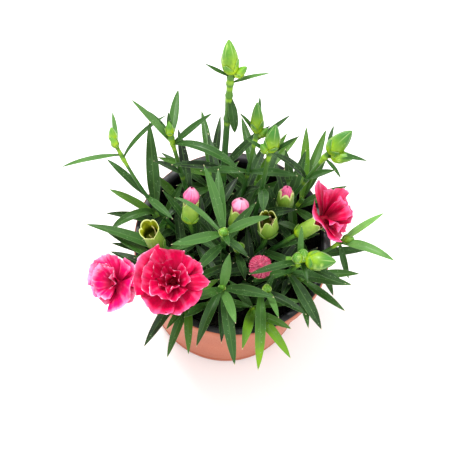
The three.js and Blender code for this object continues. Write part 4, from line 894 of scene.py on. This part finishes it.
def tip_shape(tip):
    """A cone of petals furled round each other, flush with the calyx that it stands in."""
    stand, inner = mouth_of(tip["stem"])
    reach, bulge, frill, paleness = (tip[key] for key in ("reach", "bulge", "frill", "paleness"))
    shape = Shape()
    rng = np.random.default_rng(len(tip["stem"]) * 7)
    deep = CALYX_DEPTH
    crimped = frill > 0.2
    outline = [(0, 0.98), (deep - 3.4, 1.06), (deep - 1.2, mix(1.06, bulge, 0.45))]
    outline += [(deep + share * reach, bulge * wide) for share, wide in TIP_OUTLINE]
    angle = circle(TIP_SIDES)
    h = np.linspace(0.1, deep + 0.96 * reach, TIP_ROWS)[:, None]
    crimp = frill * smooth((h - deep) / 2)
    crimp = crimp * (0.2 * np.sin(9 * angle + 0.9 * h) + 0.14 * np.sin(14 * angle - 0.7 * h))
    radius = inner * curve(outline, h) * (0.93 + crimp)
    tone = paleness if crimped else mix(paleness, -1, smooth((h - deep - 0.93 * reach) / (0.02 * reach)))
    along = 0.3 + 0.35 * smooth((h - deep) / reach)
    shape.turned(stand, h, radius, angle, (tone, along, 0.5, 0.5 + 0.5 * np.cos(9 * angle)), 0)
    v, u = grid(22, 21)
    petals = CRIMPED_PETALS if crimped else FURLED_PETALS
    for k in range(petals):
        turn = 2 * math.pi * k / petals + rng.uniform(-0.2, 0.2)
        span = rng.uniform(0.35, 0.6) if crimped else rng.uniform(1.0, 1.3)
        low, high = deep - 3.2, deep + reach * rng.uniform(0.84, 1.0)
        height = low + (high - low) * v * (1 - 0.12 * u**2 * v)
        height = height + 0.5 * reach * (frill - 0.1) * np.sin(14 * u) * v
        out = 0.94 * inner * curve(outline, np.clip(height, 0, deep + reach))
        out = out + 0.05 + 0.32 * (0.5 + 0.5 * u) * smooth(v * 2.5)
        if crimped:
            out = out + frill * (2.6 * np.sin(7 * u + 4 * v + k) + np.sin(13 * u + k)) * v
        angle = turn + u * span * (1 + 0.3 * v * (1 - v)) + 0.5 * v
        tone = np.clip(paleness + rng.uniform(-0.1, 0.1), 0, 1)
        along = 0.3 + 0.62 * v + 0.1 * np.abs(u) ** 6
        shape.wrapped(stand, height, out, out - 0.2, angle, (tone, along, np.abs(u), 0.5 + 0.5 * u), 0)
    return shape


# ---------------------------------------------------------------- pot and soil

POT_SEGMENTS = 144
POT_WALL_HEIGHTS = (7.0, 7.6, 8.0, 14, 26, 38, 50, 62, 72, 80, LIP_FOOT - 0.7)
POT_FOOT_STEP = 0.35
GROUND = (np.zeros(3), np.eye(3))
SOIL_RINGS, SOIL_SIDES = 52, 160
CRUMBS = 620


def pot_profile():
    """Two lines of (radius, height): from the hub under the pot up to the rim, and from there
    down to the middle of the floor inside."""
    hub, rim, top, wall = POT_HUB_RADIUS, POT_RIM_RADIUS, POT_HEIGHT, WALL_TOP_RADIUS
    foot = POT_BASE_RADIUS - POT_FOOT_WIDTH
    outside = [
        (0, 0), (hub - 0.4, 0), (hub, 0.4), (hub + 0.9, POT_RECESS - 0.3), (hub + 1.3, POT_RECESS),
        (foot - 1.3, POT_RECESS), (foot - 0.9, POT_RECESS - 0.3), (foot, 0.4), (foot + 0.4, 0),
        (POT_BASE_RADIUS - 1.2, 0), (POT_BASE_RADIUS - 0.4, 0.35), (POT_BASE_RADIUS, 1.3),
    ]
    for z in POT_WALL_HEIGHTS:
        proud = POT_FOOT_STEP if z == POT_WALL_HEIGHTS[0] else 0
        outside.append((pot_radius(z) + proud - 0.05, z))
    outside += [
        (wall + 0.2, LIP_FOOT - 0.25), (wall + 0.9, LIP_FOOT), (rim - 0.9, LIP_FOOT),
        (rim - 0.25, LIP_FOOT + 0.3), (rim, LIP_FOOT + 1.0), (rim, top - 1.3), (rim - 0.2, top - 0.6),
    ]
    inside = [
        (rim - 0.55, top - 0.2), (rim - 1.2, top), (wall + 0.8, top), (wall, top - 0.3),
        (wall - 0.9, top - 1.3), (wall - POT_WALL, top - 3), (wall - POT_WALL, LIP_FOOT),
    ]
    inside += [(inner_radius(z), z) for z in (60, 30, FLOOR_TOP)] + [(0, FLOOR_TOP)]
    return outside, inside


def pot_shape():
    """The pot turned from its profile, which starts and ends on the axis: slot 0 outside, 1 inside."""
    outside, inside = pot_profile()
    slots = [0] * len(outside) + [1] * (len(inside) - 1)
    shape = Shape()
    profile = np.array(outside + inside, float)
    radius, height = profile[1:-1].T[..., None]
    rings = round_axis(GROUND, height, radius, circle(POT_SEGMENTS))
    points = np.concatenate([rings.reshape(-1, 3), [[0, 0, profile[0, 1]], [0, 0, profile[-1, 1]]]])
    shape.add(points, tint(0.5, points[:, 2] / POT_HEIGHT, 0.5, 0, (len(points),)), [], 0)
    start, end, last = len(points) - 2, len(points) - 1, len(points) - 2 - POT_SEGMENTS
    for j in range(POT_SEGMENTS):
        k = (j + 1) % POT_SEGMENTS
        low = range(0, last, POT_SEGMENTS)
        skin = [(a + j, a + k, a + k + POT_SEGMENTS, a + j + POT_SEGMENTS) for a in low]
        shape.faces += [(start, k, j), *skin, (last + j, last + k, end)]
        shape.slots += slots
    return shape


def make_pot(materials):
    """The turned pot with its drain holes cut."""
    pot = pot_shape().make("pot_shell", materials, sharp=40)
    cutter = Shape()
    reach = (POT_HUB_RADIUS + POT_BASE_RADIUS - POT_FOOT_WIDTH) / 2
    h = np.array([[-1.0], [FLOOR_TOP + 1]])
    for turn in circle(DRAIN_HOLES)[0]:
        centre = np.array([reach * math.cos(turn), reach * math.sin(turn), 0])
        cutter.turned((centre, axes(UP)), h, DRAIN_RADIUS, circle(24), (0.5, 0, 0.5, 0), 0)
    holes = cutter.make("drain_cutter", materials[:1])
    cut = pot.modifiers.new("drain holes", "BOOLEAN")
    cut.operation = "DIFFERENCE"
    cut.solver = "EXACT"
    cut.object = holes
    ready = pot.evaluated_get(bpy.context.evaluated_depsgraph_get())
    mesh = bpy.data.meshes.new_from_object(ready)
    pot.modifiers.clear()
    pot.data = mesh
    bpy.data.objects.remove(holes)
    return pot


def soil_height(x, y):
    lumps = np.sin(0.21 * x + 1.3) * np.cos(0.26 * y - 0.4) + 0.6 * np.sin(0.37 * x - 0.31 * y)
    return SOIL_TOP + SOIL_LUMP * lumps / 1.6


def soil_shape():
    """Lumpy potting mix with loose crumbs of bark and peat on top."""
    rng = np.random.default_rng(4)
    shape = Shape()
    angle = circle(SOIL_SIDES)[0]
    rows = []
    for z in (FLOOR_TOP + GAP, 40, SOIL_TOP - 3):
        rows.append(round_axis(GROUND, z, inner_radius(z) - GAP, angle))
    phase = rng.uniform(0, 6.3, (7, 2))
    for share in np.linspace(0.995, 0.02, SOIL_RINGS):
        radius = (inner_radius(SOIL_TOP) - GAP) * share
        x, y = radius * np.cos(angle), radius * np.sin(angle)
        height = soil_height(x, y)
        for k, (first, second) in enumerate(phase):
            fine = np.sin(0.5 * (k + 1.4) * x + first) * np.sin(0.47 * (k + 1.7) * y + second)
            height = height + 0.5 / (k + 1.5) * fine * min(1, (1 - share) * 12)
        rows.append(round_axis(GROUND, height, radius, angle))
    points = np.array(rows)
    shape.tube(points, tint(0.3, 0.5, 0.5, 0, points.shape[:2]), 0)
    spots = []
    for _ in range(CRUMBS):
        turn = rng.uniform(0, 2 * math.pi)
        reach = (inner_radius(SOIL_TOP) - 2) * math.sqrt(rng.uniform(0, 1))
        x, y = reach * math.cos(turn), reach * math.sin(turn)
        spots.append(np.array([x, y, soil_height(x, y) + 0.3]))
    for spot in spots:
        size = rng.uniform(0.5, 1.5)
        long = rng.uniform(0.9, 2.0)
        stand = (spot, axes(heading(rng.uniform(0, 360), rng.uniform(-30, 40))))
        h = np.array([[-1.0], [-0.55], [0.1], [0.7], [1.0]]) * size * long
        radius = np.array([[0.25], [0.9], [1.0], [0.75], [0.2]]) * size * rng.uniform(0.7, 1.25, (5, 7))
        shape.turned(stand, h, radius, circle(7), (rng.uniform(0, 1), 0.5, 0.5, 1), 0)
    return shape


# ---------------------------------------------------------------- materials


def colour(red, green, blue):
    """A colour given as it looks on screen, from 0 to 255."""
    channels = []
    for value in (red, green, blue):
        c = value / 255
        channels.append(c / 12.92 if c <= 0.04045 else ((c + 0.055) / 1.055) ** 2.4)
    return (*channels, 1.0)


class Look:
    """A material built of colours laid over each other, with short ways to add and join nodes."""

    def __init__(self, name, ground=None, scatter=None, **uniform):
        self.material = bpy.data.materials.new(name)
        self.material.use_nodes = True
        self.tree = self.material.node_tree
        self.shader = self.tree.nodes["Principled BSDF"]
        for key, value in uniform.items():
            self.shader.inputs[key.replace("_", " ")].default_value = value
        if scatter is not None:
            self.shader.inputs["Subsurface Radius"].default_value = scatter
        source = self.add("ShaderNodeAttribute", attribute_name="tint")
        split = self.add("ShaderNodeSeparateColor")
        self.put(split.inputs[0], source.outputs["Color"])
        self.tone, self.along, self.across = split.outputs[:3]
        self.extra = source.outputs["Alpha"]
        self.paint = ground and colour(*ground)

    def add(self, kind, **settings):
        node = self.tree.nodes.new(kind)
        for key, value in settings.items():
            setattr(node, key, value)
        return node

    def put(self, socket, value):
        if isinstance(value, bpy.types.NodeSocket):
            self.tree.links.new(value, socket)
        else:
            socket.default_value = value

    def sum(self, operation, a, b=0.0):
        node = self.add("ShaderNodeMath", operation=operation)
        self.put(node.inputs[0], a)
        self.put(node.inputs[1], b)
        return node.outputs[0]

    def times(self, a, b):
        return self.sum("MULTIPLY", a, b)

    def plus(self, a, b):
        return self.sum("ADD", a, b)

    def ramp(self, value, low, high, start=0.0, end=1.0):
        """`value` from low to high, smoothly, as start to end."""
        node = self.add("ShaderNodeMapRange", interpolation_type="SMOOTHSTEP")
        self.put(node.inputs["Value"], value)
        for socket, number in zip(("From Min", "From Max", "To Min", "To Max"), (low, high, start, end)):
            node.inputs[socket].default_value = number
        return node.outputs[0]

    def noise(self, scale, detail=3.0, stretch=1.0):
        """Even noise, drawn out along Z where `stretch` is less than 1."""
        place = self.add("ShaderNodeTexCoord").outputs["Object"]
        if stretch != 1:
            mapping = self.add("ShaderNodeMapping")
            self.put(mapping.inputs["Vector"], place)
            mapping.inputs["Scale"].default_value = (1, 1, stretch)
            place = mapping.outputs[0]
        node = self.add("ShaderNodeTexNoise")
        self.put(node.inputs["Vector"], place)
        for socket, number in (("Scale", scale), ("Detail", detail), ("Roughness", 0.55)):
            node.inputs[socket].default_value = number
        return node.outputs["Fac"]

    def blend(self, factor, a, b):
        node = self.add("ShaderNodeMix", data_type="RGBA")
        for socket, value in ((0, factor), (6, a), (7, b)):
            self.put(node.inputs[socket], value)
        return node.outputs[2]

    def over(self, factor, top):
        """Lays a colour over the others as far as the factor says."""
        self.paint = self.blend(factor, self.paint, colour(*top) if isinstance(top, tuple) else top)

    def layer(self, value, low, high, share, top):
        """Lays a colour over the others, from none of it at low to a share of it at high."""
        self.over(self.ramp(value, low, high, 0, share), top)

    def fade(self, value, high, share, top):
        """Lays a colour over the others, from a share of it at 0 to none of it at high."""
        self.over(self.ramp(value, 0, high, share, 0), top)

    def waves(self, value, count):
        return self.sum("SINE", self.times(value, count))

    def roughness(self, value, low, high, start, end):
        self.put(self.shader.inputs["Roughness"], self.ramp(value, low, high, start, end))

    def finish(self, height=None, strength=0.0, distance=0.0002):
        """The material, with its colour and the bumps of a height."""
        self.put(self.shader.inputs["Base Color"], self.paint)
        if height is not None:
            node = self.add("ShaderNodeBump")
            node.inputs["Strength"].default_value = strength
            node.inputs["Distance"].default_value = distance
            self.put(node.inputs["Height"], height)
            self.put(self.shader.inputs["Normal"], node.outputs[0])
        return self.material


WAXY = {"Specular_IOR_Level": 0.3}
GREEN_SCATTER = (0.8, 1.0, 0.3)
PETAL_SCATTER = (1.0, 0.25, 0.45)


def leaf_material(name, dark, middle, light):
    """Waxy leaf: parallel veins, a pale midrib, a pale callous tip and small flecks."""
    n = Look(name, dark, **WAXY)
    n.layer(n.tone, 0, 0.5, 1, middle)
    n.layer(n.tone, 0.5, 1, 1, light)
    lime = n.blend(n.ramp(n.along, 0.4, 0.9), colour(54, 100, 14), colour(114, 158, 8))
    n.layer(n.tone, 0.96, 1, 1, lime)
    n.layer(n.noise(90), 0.35, 0.7, 0.45, (58, 98, 44))
    vein = n.waves(n.across, 26)
    streak = n.noise(320, 2, stretch=0.35)
    n.layer(vein, 0.2, 1, 0.16, (18, 40, 12))
    n.fade(n.across, 0.1, 0.42, (98, 138, 66))
    # Painted highlight: a pale band along both edges of the blade.
    n.layer(n.across, 0.88, 1, 0.45, (110, 150, 84))
    n.layer(n.noise(900, 1), 0.67, 0.74, 0.5, (132, 164, 112))
    n.fade(n.along, 0.09, 0.75, (130, 160, 62))
    n.layer(n.along, 0.965, 0.995, 0.9, (226, 214, 170))
    n.roughness(streak, 0.3, 0.8, 0.36, 0.52)
    return n.finish(n.plus(n.times(vein, 0.25), streak), 0.35)


def stem_material():
    """Green stem, pale and yellowish under each joint, with a waxy bloom."""
    n = Look("stem", (26, 58, 16), **WAXY)
    n.over(n.tone, (96, 148, 40))
    n.layer(n.noise(140), 0.35, 0.7, 0.4, (70, 108, 62))
    n.over(n.ramp(n.along, 0.6, 0.92, 0.9, 0), (34, 78, 28))
    n.layer(n.extra, 0.25, 1, 0.6, (160, 204, 40))
    line = n.noise(500, 2, stretch=0.1)
    n.layer(line, 0.4, 0.7, 0.2, (26, 54, 18))
    n.roughness(line, 0.3, 0.8, 0.38, 0.55)
    return n.finish(line, 0.3)


def bud_material():
    """Smooth sepals: yellow-green at the foot, deeper green above, pale thin margins."""
    n = Look("bud", scatter=GREEN_SCATTER, Subsurface_Weight=0.1, Subsurface_Scale=0.0012, **WAXY)
    young = n.blend(n.ramp(n.along, 0.1, 0.8), colour(186, 214, 30), colour(104, 160, 46))
    old = n.blend(n.ramp(n.along, 0.1, 0.75), colour(126, 168, 0), colour(40, 98, 34))
    n.paint = n.blend(n.tone, young, old)
    n.layer(n.noise(150, 4, stretch=0.5), 0.42, 0.68, 0.6, (50, 112, 34))
    n.layer(n.noise(240, stretch=0.5), 0.56, 0.76, 0.5, (206, 230, 120))
    seam = n.times(n.ramp(n.across, 0.88, 1, 0, 0.5), n.ramp(n.along, 0.45, 0.9))
    n.over(seam, (214, 226, 150))
    line = n.noise(700, 2, stretch=0.12)
    n.layer(line, 0.45, 0.7, 0.18, (70, 120, 50))
    n.roughness(line, 0.3, 0.8, 0.34, 0.5)
    return n.finish(line, 0.25)


def calyx_material():
    """Open calyx: green tube, cream teeth, and painted shade within: olive green at the mouth, darker down
    to the floor of the tube.
    """
    n = Look("calyx", scatter=GREEN_SCATTER, Subsurface_Weight=0.08, Subsurface_Scale=0.0012)
    young = n.blend(n.ramp(n.along, 0.1, 0.9), colour(112, 158, 20), colour(164, 196, 84))
    old = n.blend(n.ramp(n.along, 0.1, 0.9), colour(36, 62, 4), colour(116, 156, 42))
    n.paint = n.blend(n.tone, young, old)
    line = n.noise(600, 2, stretch=0.12)
    n.layer(line, 0.4, 0.7, 0.3, (88, 128, 52))
    hollow = n.times(n.extra, -1)
    # Painted shade inside the tube: darkest on its floor, lighter towards the mouth, with darker patches.
    within = n.blend(n.ramp(n.along, 0.1, 0.85), colour(58, 66, 2), colour(156, 164, 30))
    within = n.blend(n.ramp(n.noise(400), 0.45, 0.7, 0, 0.5), within, colour(34, 44, 8))
    n.layer(hollow, 0.3, 0.7, 1, within)
    n.layer(n.across, 0.05, 0.7, 0.9, (222, 228, 150))
    n.roughness(line, 0.3, 0.8, 0.4, 0.6)
    n.put(n.shader.inputs["Specular IOR Level"], n.ramp(hollow, 0.3, 0.7, 0.3, 0.02))
    return n.finish(line, 0.3)


def withered_material():
    n = Look("withered_petal", (96, 56, 36), Roughness=0.8)
    n.over(n.tone, (206, 192, 122))
    n.layer(n.noise(700), 0.45, 0.75, 0.5, (64, 44, 24))
    return n.finish(n.noise(900), 0.5, 0.0003)


def petal_material(name, deep, bright, pale, edge_from, seam=0.0, crimp_glint_and_shade=0.0):
    """Velvety petal: deep at the claw, paler at the margin, with fine spreading veins and painted highlight
    and shade of folds.
    """
    n = Look(name, deep, PETAL_SCATTER, Roughness=0.6, Specular_IOR_Level=0.12,
             Subsurface_Weight=0.15, Subsurface_Scale=0.001)
    n.layer(n.along, 0.15, 0.75, 1, bright)
    cloud = n.times(n.sum("SUBTRACT", n.noise(130), 0.5), 0.55)
    uneven = n.plus(n.plus(n.along, cloud), n.times(n.tone, 0.3))
    n.layer(uneven, edge_from, edge_from + 0.5, 0.85, pale)
    vein = n.waves(n.extra, 95)
    n.over(n.times(n.ramp(vein, 0.3, 1), n.ramp(n.along, 0.1, 0.9, 0.26, 0.1)), deep)
    # Painted highlight and shade of folds: pale bands where a fold catches the light, deep bands in the
    # creases, across the middle of the petal.
    fold = n.sum("SINE", n.plus(n.times(n.extra, 19), n.times(n.tone, 40)))
    fold = n.plus(fold, n.times(n.sum("SUBTRACT", n.noise(210), 0.5), 3))
    spread = n.ramp(n.along, 0.25, 0.7)
    n.over(n.times(n.ramp(fold, 0.3, 1.6, 0, 0.26), spread), pale)
    n.over(n.times(n.ramp(n.times(fold, -1), 0.5, 1.6, 0, 0.45), spread), deep)
    margin = n.times(n.ramp(n.along, 0.93, 1), n.ramp(n.noise(260, 2), 0.38, 0.56, 0.25, 1))
    n.over(margin, (255, 190, 218))
    if seam:
        n.layer(n.across, 0.8, 1, seam, deep)
    # Painted highlight and shade of fine crimps: pale specks on their ridges and deep specks in their
    # hollows.
    if crimp_glint_and_shade:
        n.layer(n.noise(1500), 0.5, 0.66, crimp_glint_and_shade, pale)
        n.layer(n.noise(1100), 0.52, 0.7, crimp_glint_and_shade, deep)
    n.over(n.ramp(n.tone, -0.8, -0.2, 1, 0), (74, 4, 34))
    return n.finish(n.plus(n.times(vein, 0.4), n.noise(500, 2)), 0.35)


def terracotta_material():
    """Moulded terracotta-coloured plastic: faint flow marks, fine grain, pale scuffs, and darker towards
    the bottom.
    """
    n = Look("pot_terracotta", (164, 84, 54), **WAXY)
    n.layer(n.noise(22, 4), 0.3, 0.7, 1, (178, 98, 66))
    n.layer(n.noise(60, stretch=0.08), 0.45, 0.75, 0.35, (154, 76, 46))
    n.fade(n.along, 0.16, 0.5, (146, 74, 50))
    n.layer(n.noise(260, 4), 0.62, 0.72, 0.35, (188, 120, 90))
    grain = n.noise(1600, 2)
    n.roughness(grain, 0.3, 0.7, 0.42, 0.58)
    return n.finish(grain, 0.25)


def black_material():
    """The pot's dark lining: black plastic with a soft sheen and specks of dust."""
    n = Look("pot_lining", (18, 17, 21))
    n.layer(n.noise(30), 0.35, 0.7, 1, (29, 27, 32))
    n.layer(n.noise(1100, 2), 0.66, 0.74, 0.4, (92, 84, 78))
    n.roughness(n.noise(200), 0.3, 0.7, 0.36, 0.55)
    return n.finish(n.noise(1400, 2), 0.2)


def soil_material():
    """Damp dark potting mix with lighter fibres and a few pale grains."""
    n = Look("potting_soil", (10, 10, 6), Roughness=0.95, Specular_IOR_Level=0.15)
    n.over(n.tone, (30, 26, 15))
    n.over(n.ramp(n.noise(300, 4), 0.4, 0.65, 1, 0), (7, 8, 5))
    n.layer(n.noise(700, 2), 0.7, 0.78, 0.4, (66, 56, 38))
    return n.finish(n.noise(500, 5), 0.9, 0.0008)


# ---------------------------------------------------------------- the pieces


def place(piece, node, slot):
    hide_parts(node)
    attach(piece, "root")


leaf_old = leaf_material("leaf", (3, 22, 1), (38, 78, 20), (124, 178, 90))
leaf_young = leaf_material("young_leaf", (5, 26, 1), (46, 88, 16), (112, 160, 24))
stem_looks = [stem_material(), bud_material(), calyx_material(), withered_material()]
petal_look = petal_material("petal", (128, 0, 30), (210, 0, 72), (250, 128, 184), 0.8)
pale_look = petal_material("pale_petal", (150, 0, 46), (236, 0, 104), (252, 184, 226), 0.9)
tip_look = petal_material("bud_petal", (196, 40, 92), (234, 104, 154), (252, 190, 212), 0.8, seam=0.75)
crimp_look = petal_material("crimped_petal", (120, 10, 46), (178, 50, 86), (226, 136, 158), 0.85, crimp_glint_and_shade=0.6)

# How light and yellow the leaves of a stem are, and single leaves that differ from their stem.
STEM_TONES = {
    "shoot_front_right": 0.55, "shoot_front_left": 0.5, "shoot_left_front": 0.45, "stem_centre": 0.42,
    "stem_far_left": 0.42, "stem_far_right": 0.55, "stem_left_back": 0.3, "shoot_left": 0.4,
}
DEFAULT_TONE, DEFAULT_HEAD_TONE = 0.32, 0.3
# The random spread of leaf tones, the painted light and shade that makes leaves high on a stem lighter and
# low ones darker, and the painted shade that darkens the small inner leaves.
TONE_SPREAD, PAINTED_LIGHT_RISE, INNER_SHADE = 0.24, 0.5, 0.24
LEAF_TONES = {
    "stem_front_bud": {2: 1.0}, "shoot_front_right": {2: 0.8}, "stem_spent_left": {0: 0.58},
    "stem_far_left": {1: 0.7}, "stem_far_right": {0: 0.95, 1: 0.76}, "shoot_left": {0: 0.25},
    "stem_centre": {0: 0.6, 1: 0.63, 2: 0.62, 3: 0.62},
}
STEM_COLOURS = {"stem_tall_back": 0.75, "stem_far_left": 0.8, "stem_left_back": 0.7, "stem_back_bud": 0.8}
HEAD_TONES = {
    "stem_tall_back": {0: 0.15, 1: 0.0}, "stem_far_left": {0: 0.0, 1: 0.0}, "stem_back_bud": {0: 0.65},
    "stem_back_second": {0: 0.75}, "stem_right_back": {0: 0.75, 1: 0.3}, "stem_cluster": {0: 0.65, 3: 0.3},
    "stem_spent_right": {0: 0.6}, "stem_spent_left": {0: 0.5},
    "stem_bud_left": {0: 0.1}, "stem_bud_mid": {0: 0.4}, "stem_bud_right": {0: 0.75},
}

for number, (stem, blades) in enumerate(grow()):
    rng = np.random.default_rng(100 + number)
    name, shape = stem["name"], Shape()
    add_stem(shape, stem, STEM_COLOURS.get(name, 0.4 + 0.3 * rng.uniform()))
    for blade in blades:
        light = STEM_TONES.get(name, DEFAULT_TONE) + rng.uniform(-TONE_SPREAD, TONE_SPREAD)
        # Painted light and shade: leaves high on the stem are painted lighter and low ones darker.
        light += PAINTED_LIGHT_RISE * (blade["place"] - 0.6)
        light = LEAF_TONES.get(name, {}).get(blade["index"], light)
        # Painted shade: the small inner leaves are painted darker.
        if blade["index"] == INNER_LEAF:
            light -= INNER_SHADE
        add_leaf(shape, blade, np.clip(light, 0, 1), rng)
    for k, head in enumerate(stem["heads"]):
        add_head(shape, stem, head, HEAD_TONES.get(name, {}).get(k, DEFAULT_HEAD_TONE), rng)
    look, slot = (leaf_old, "leaf_and_stem") if stem["heads"] else (leaf_young, "young_leaf")
    place(shape.make(name + "_fine", [look] + stem_looks), name, slot)

for bloom in BLOOMS:
    look = pale_look if bloom["name"] == "bloom_left" else petal_look
    place(bloom_shape(bloom).make(bloom["name"] + "_fine", [look]), bloom["name"], "petals")
for tip in BUD_TIPS:
    look = crimp_look if tip["name"] == "bud_tip_front" else tip_look
    place(tip_shape(tip).make(tip["name"] + "_fine", [look]), tip["name"], "bud_petals")
place(make_pot([terracotta_material(), black_material()]), "pot", "pot_plastic")
place(soil_shape().make("soil_fine", [soil_material()], sharp=180), "soil", "potting_soil")

# ---------------------------------------------------------------- floor, light and camera

scene = bpy.context.scene
FLOOR_REACH = 3.0
FLOOR_DROP = 0.0002
SKY_STRENGTH = 1.25
LIGHT_AIM = (0, 0, 100)
# The camera looks down on the plant from the front, turned a little round its own axis.
CAMERA_DISTANCE = 1200
CAMERA_RISE = 68
CAMERA_ROLL = 9
SENSOR_WIDTH = 36
FOCAL_LENGTH = 4.392 * SENSOR_WIDTH
RIM_OFF_CENTRE = (4.74, -10.3)            # the rim's centre in the frame, right and up, in millimetres


def vector(x, y, z):
    return Vector((x, y, z)) * MM


floor_mesh = bpy.data.meshes.new("floor")
corners = [(x * FLOOR_REACH, y * FLOOR_REACH, 0) for x, y in ((-1, -1), (1, -1), (1, 1), (-1, 1))]
floor_mesh.from_pydata(corners, [], [(0, 1, 2, 3)])
floor = bpy.data.objects.new("floor", floor_mesh)
floor.location.z = -FLOOR_DROP
scene.collection.objects.link(floor)
floor_look = Look("floor", (250, 249, 249), Roughness=0.7)
floor_look.over(floor_look.noise(3, 2), (253, 252, 252))
floor_mesh.materials.append(floor_look.finish())

world = bpy.data.worlds.new("studio")
scene.world = world
world.use_nodes = True
world.node_tree.nodes["Background"].inputs["Color"].default_value = (1.0, 1.0, 1.0, 1.0)
world.node_tree.nodes["Background"].inputs["Strength"].default_value = SKY_STRENGTH


def soft_light(name, place_mm, size_mm, power):
    data = bpy.data.lights.new(name, "AREA")
    data.shape = "DISK"
    data.size = size_mm * MM
    data.energy = power
    light = bpy.data.objects.new(name, data)
    light.location = vector(*place_mm)
    light.rotation_mode = "QUATERNION"
    light.rotation_quaternion = (vector(*LIGHT_AIM) - light.location).to_track_quat("-Z", "Y")
    scene.collection.objects.link(light)


soft_light("key", (-500, 500, 1500), 500, 26)
soft_light("fill", (900, -700, 1100), 900, 4)

rise, roll = math.radians(CAMERA_RISE), math.radians(CAMERA_ROLL)
ahead = Vector((0, math.cos(rise), -math.sin(rise)))
level = Vector((1, 0, 0))
upright = Vector((0, math.sin(rise), math.cos(rise)))
right = math.cos(roll) * level + math.sin(roll) * upright
up = math.cos(roll) * upright - math.sin(roll) * level
rim = Vector((0, 0, POT_HEIGHT))
spot = rim - CAMERA_DISTANCE * ahead
look = (rim - RIM_OFF_CENTRE[0] * right - RIM_OFF_CENTRE[1] * up - spot).normalized()
side = look.cross(up).normalized()
camera_data = bpy.data.cameras.new("camera")
camera_data.sensor_width = SENSOR_WIDTH
camera_data.lens = FOCAL_LENGTH
camera_data.clip_start, camera_data.clip_end = 0.05, 20
camera = bpy.data.objects.new("camera", camera_data)
turned = Matrix((side, side.cross(look), -look)).transposed().to_4x4()
camera.matrix_world = Matrix.Translation(spot * MM) @ turned
scene.collection.objects.link(camera)
scene.camera = camera
scene.view_settings.view_transform = "Standard"
scene.view_settings.look = "None"
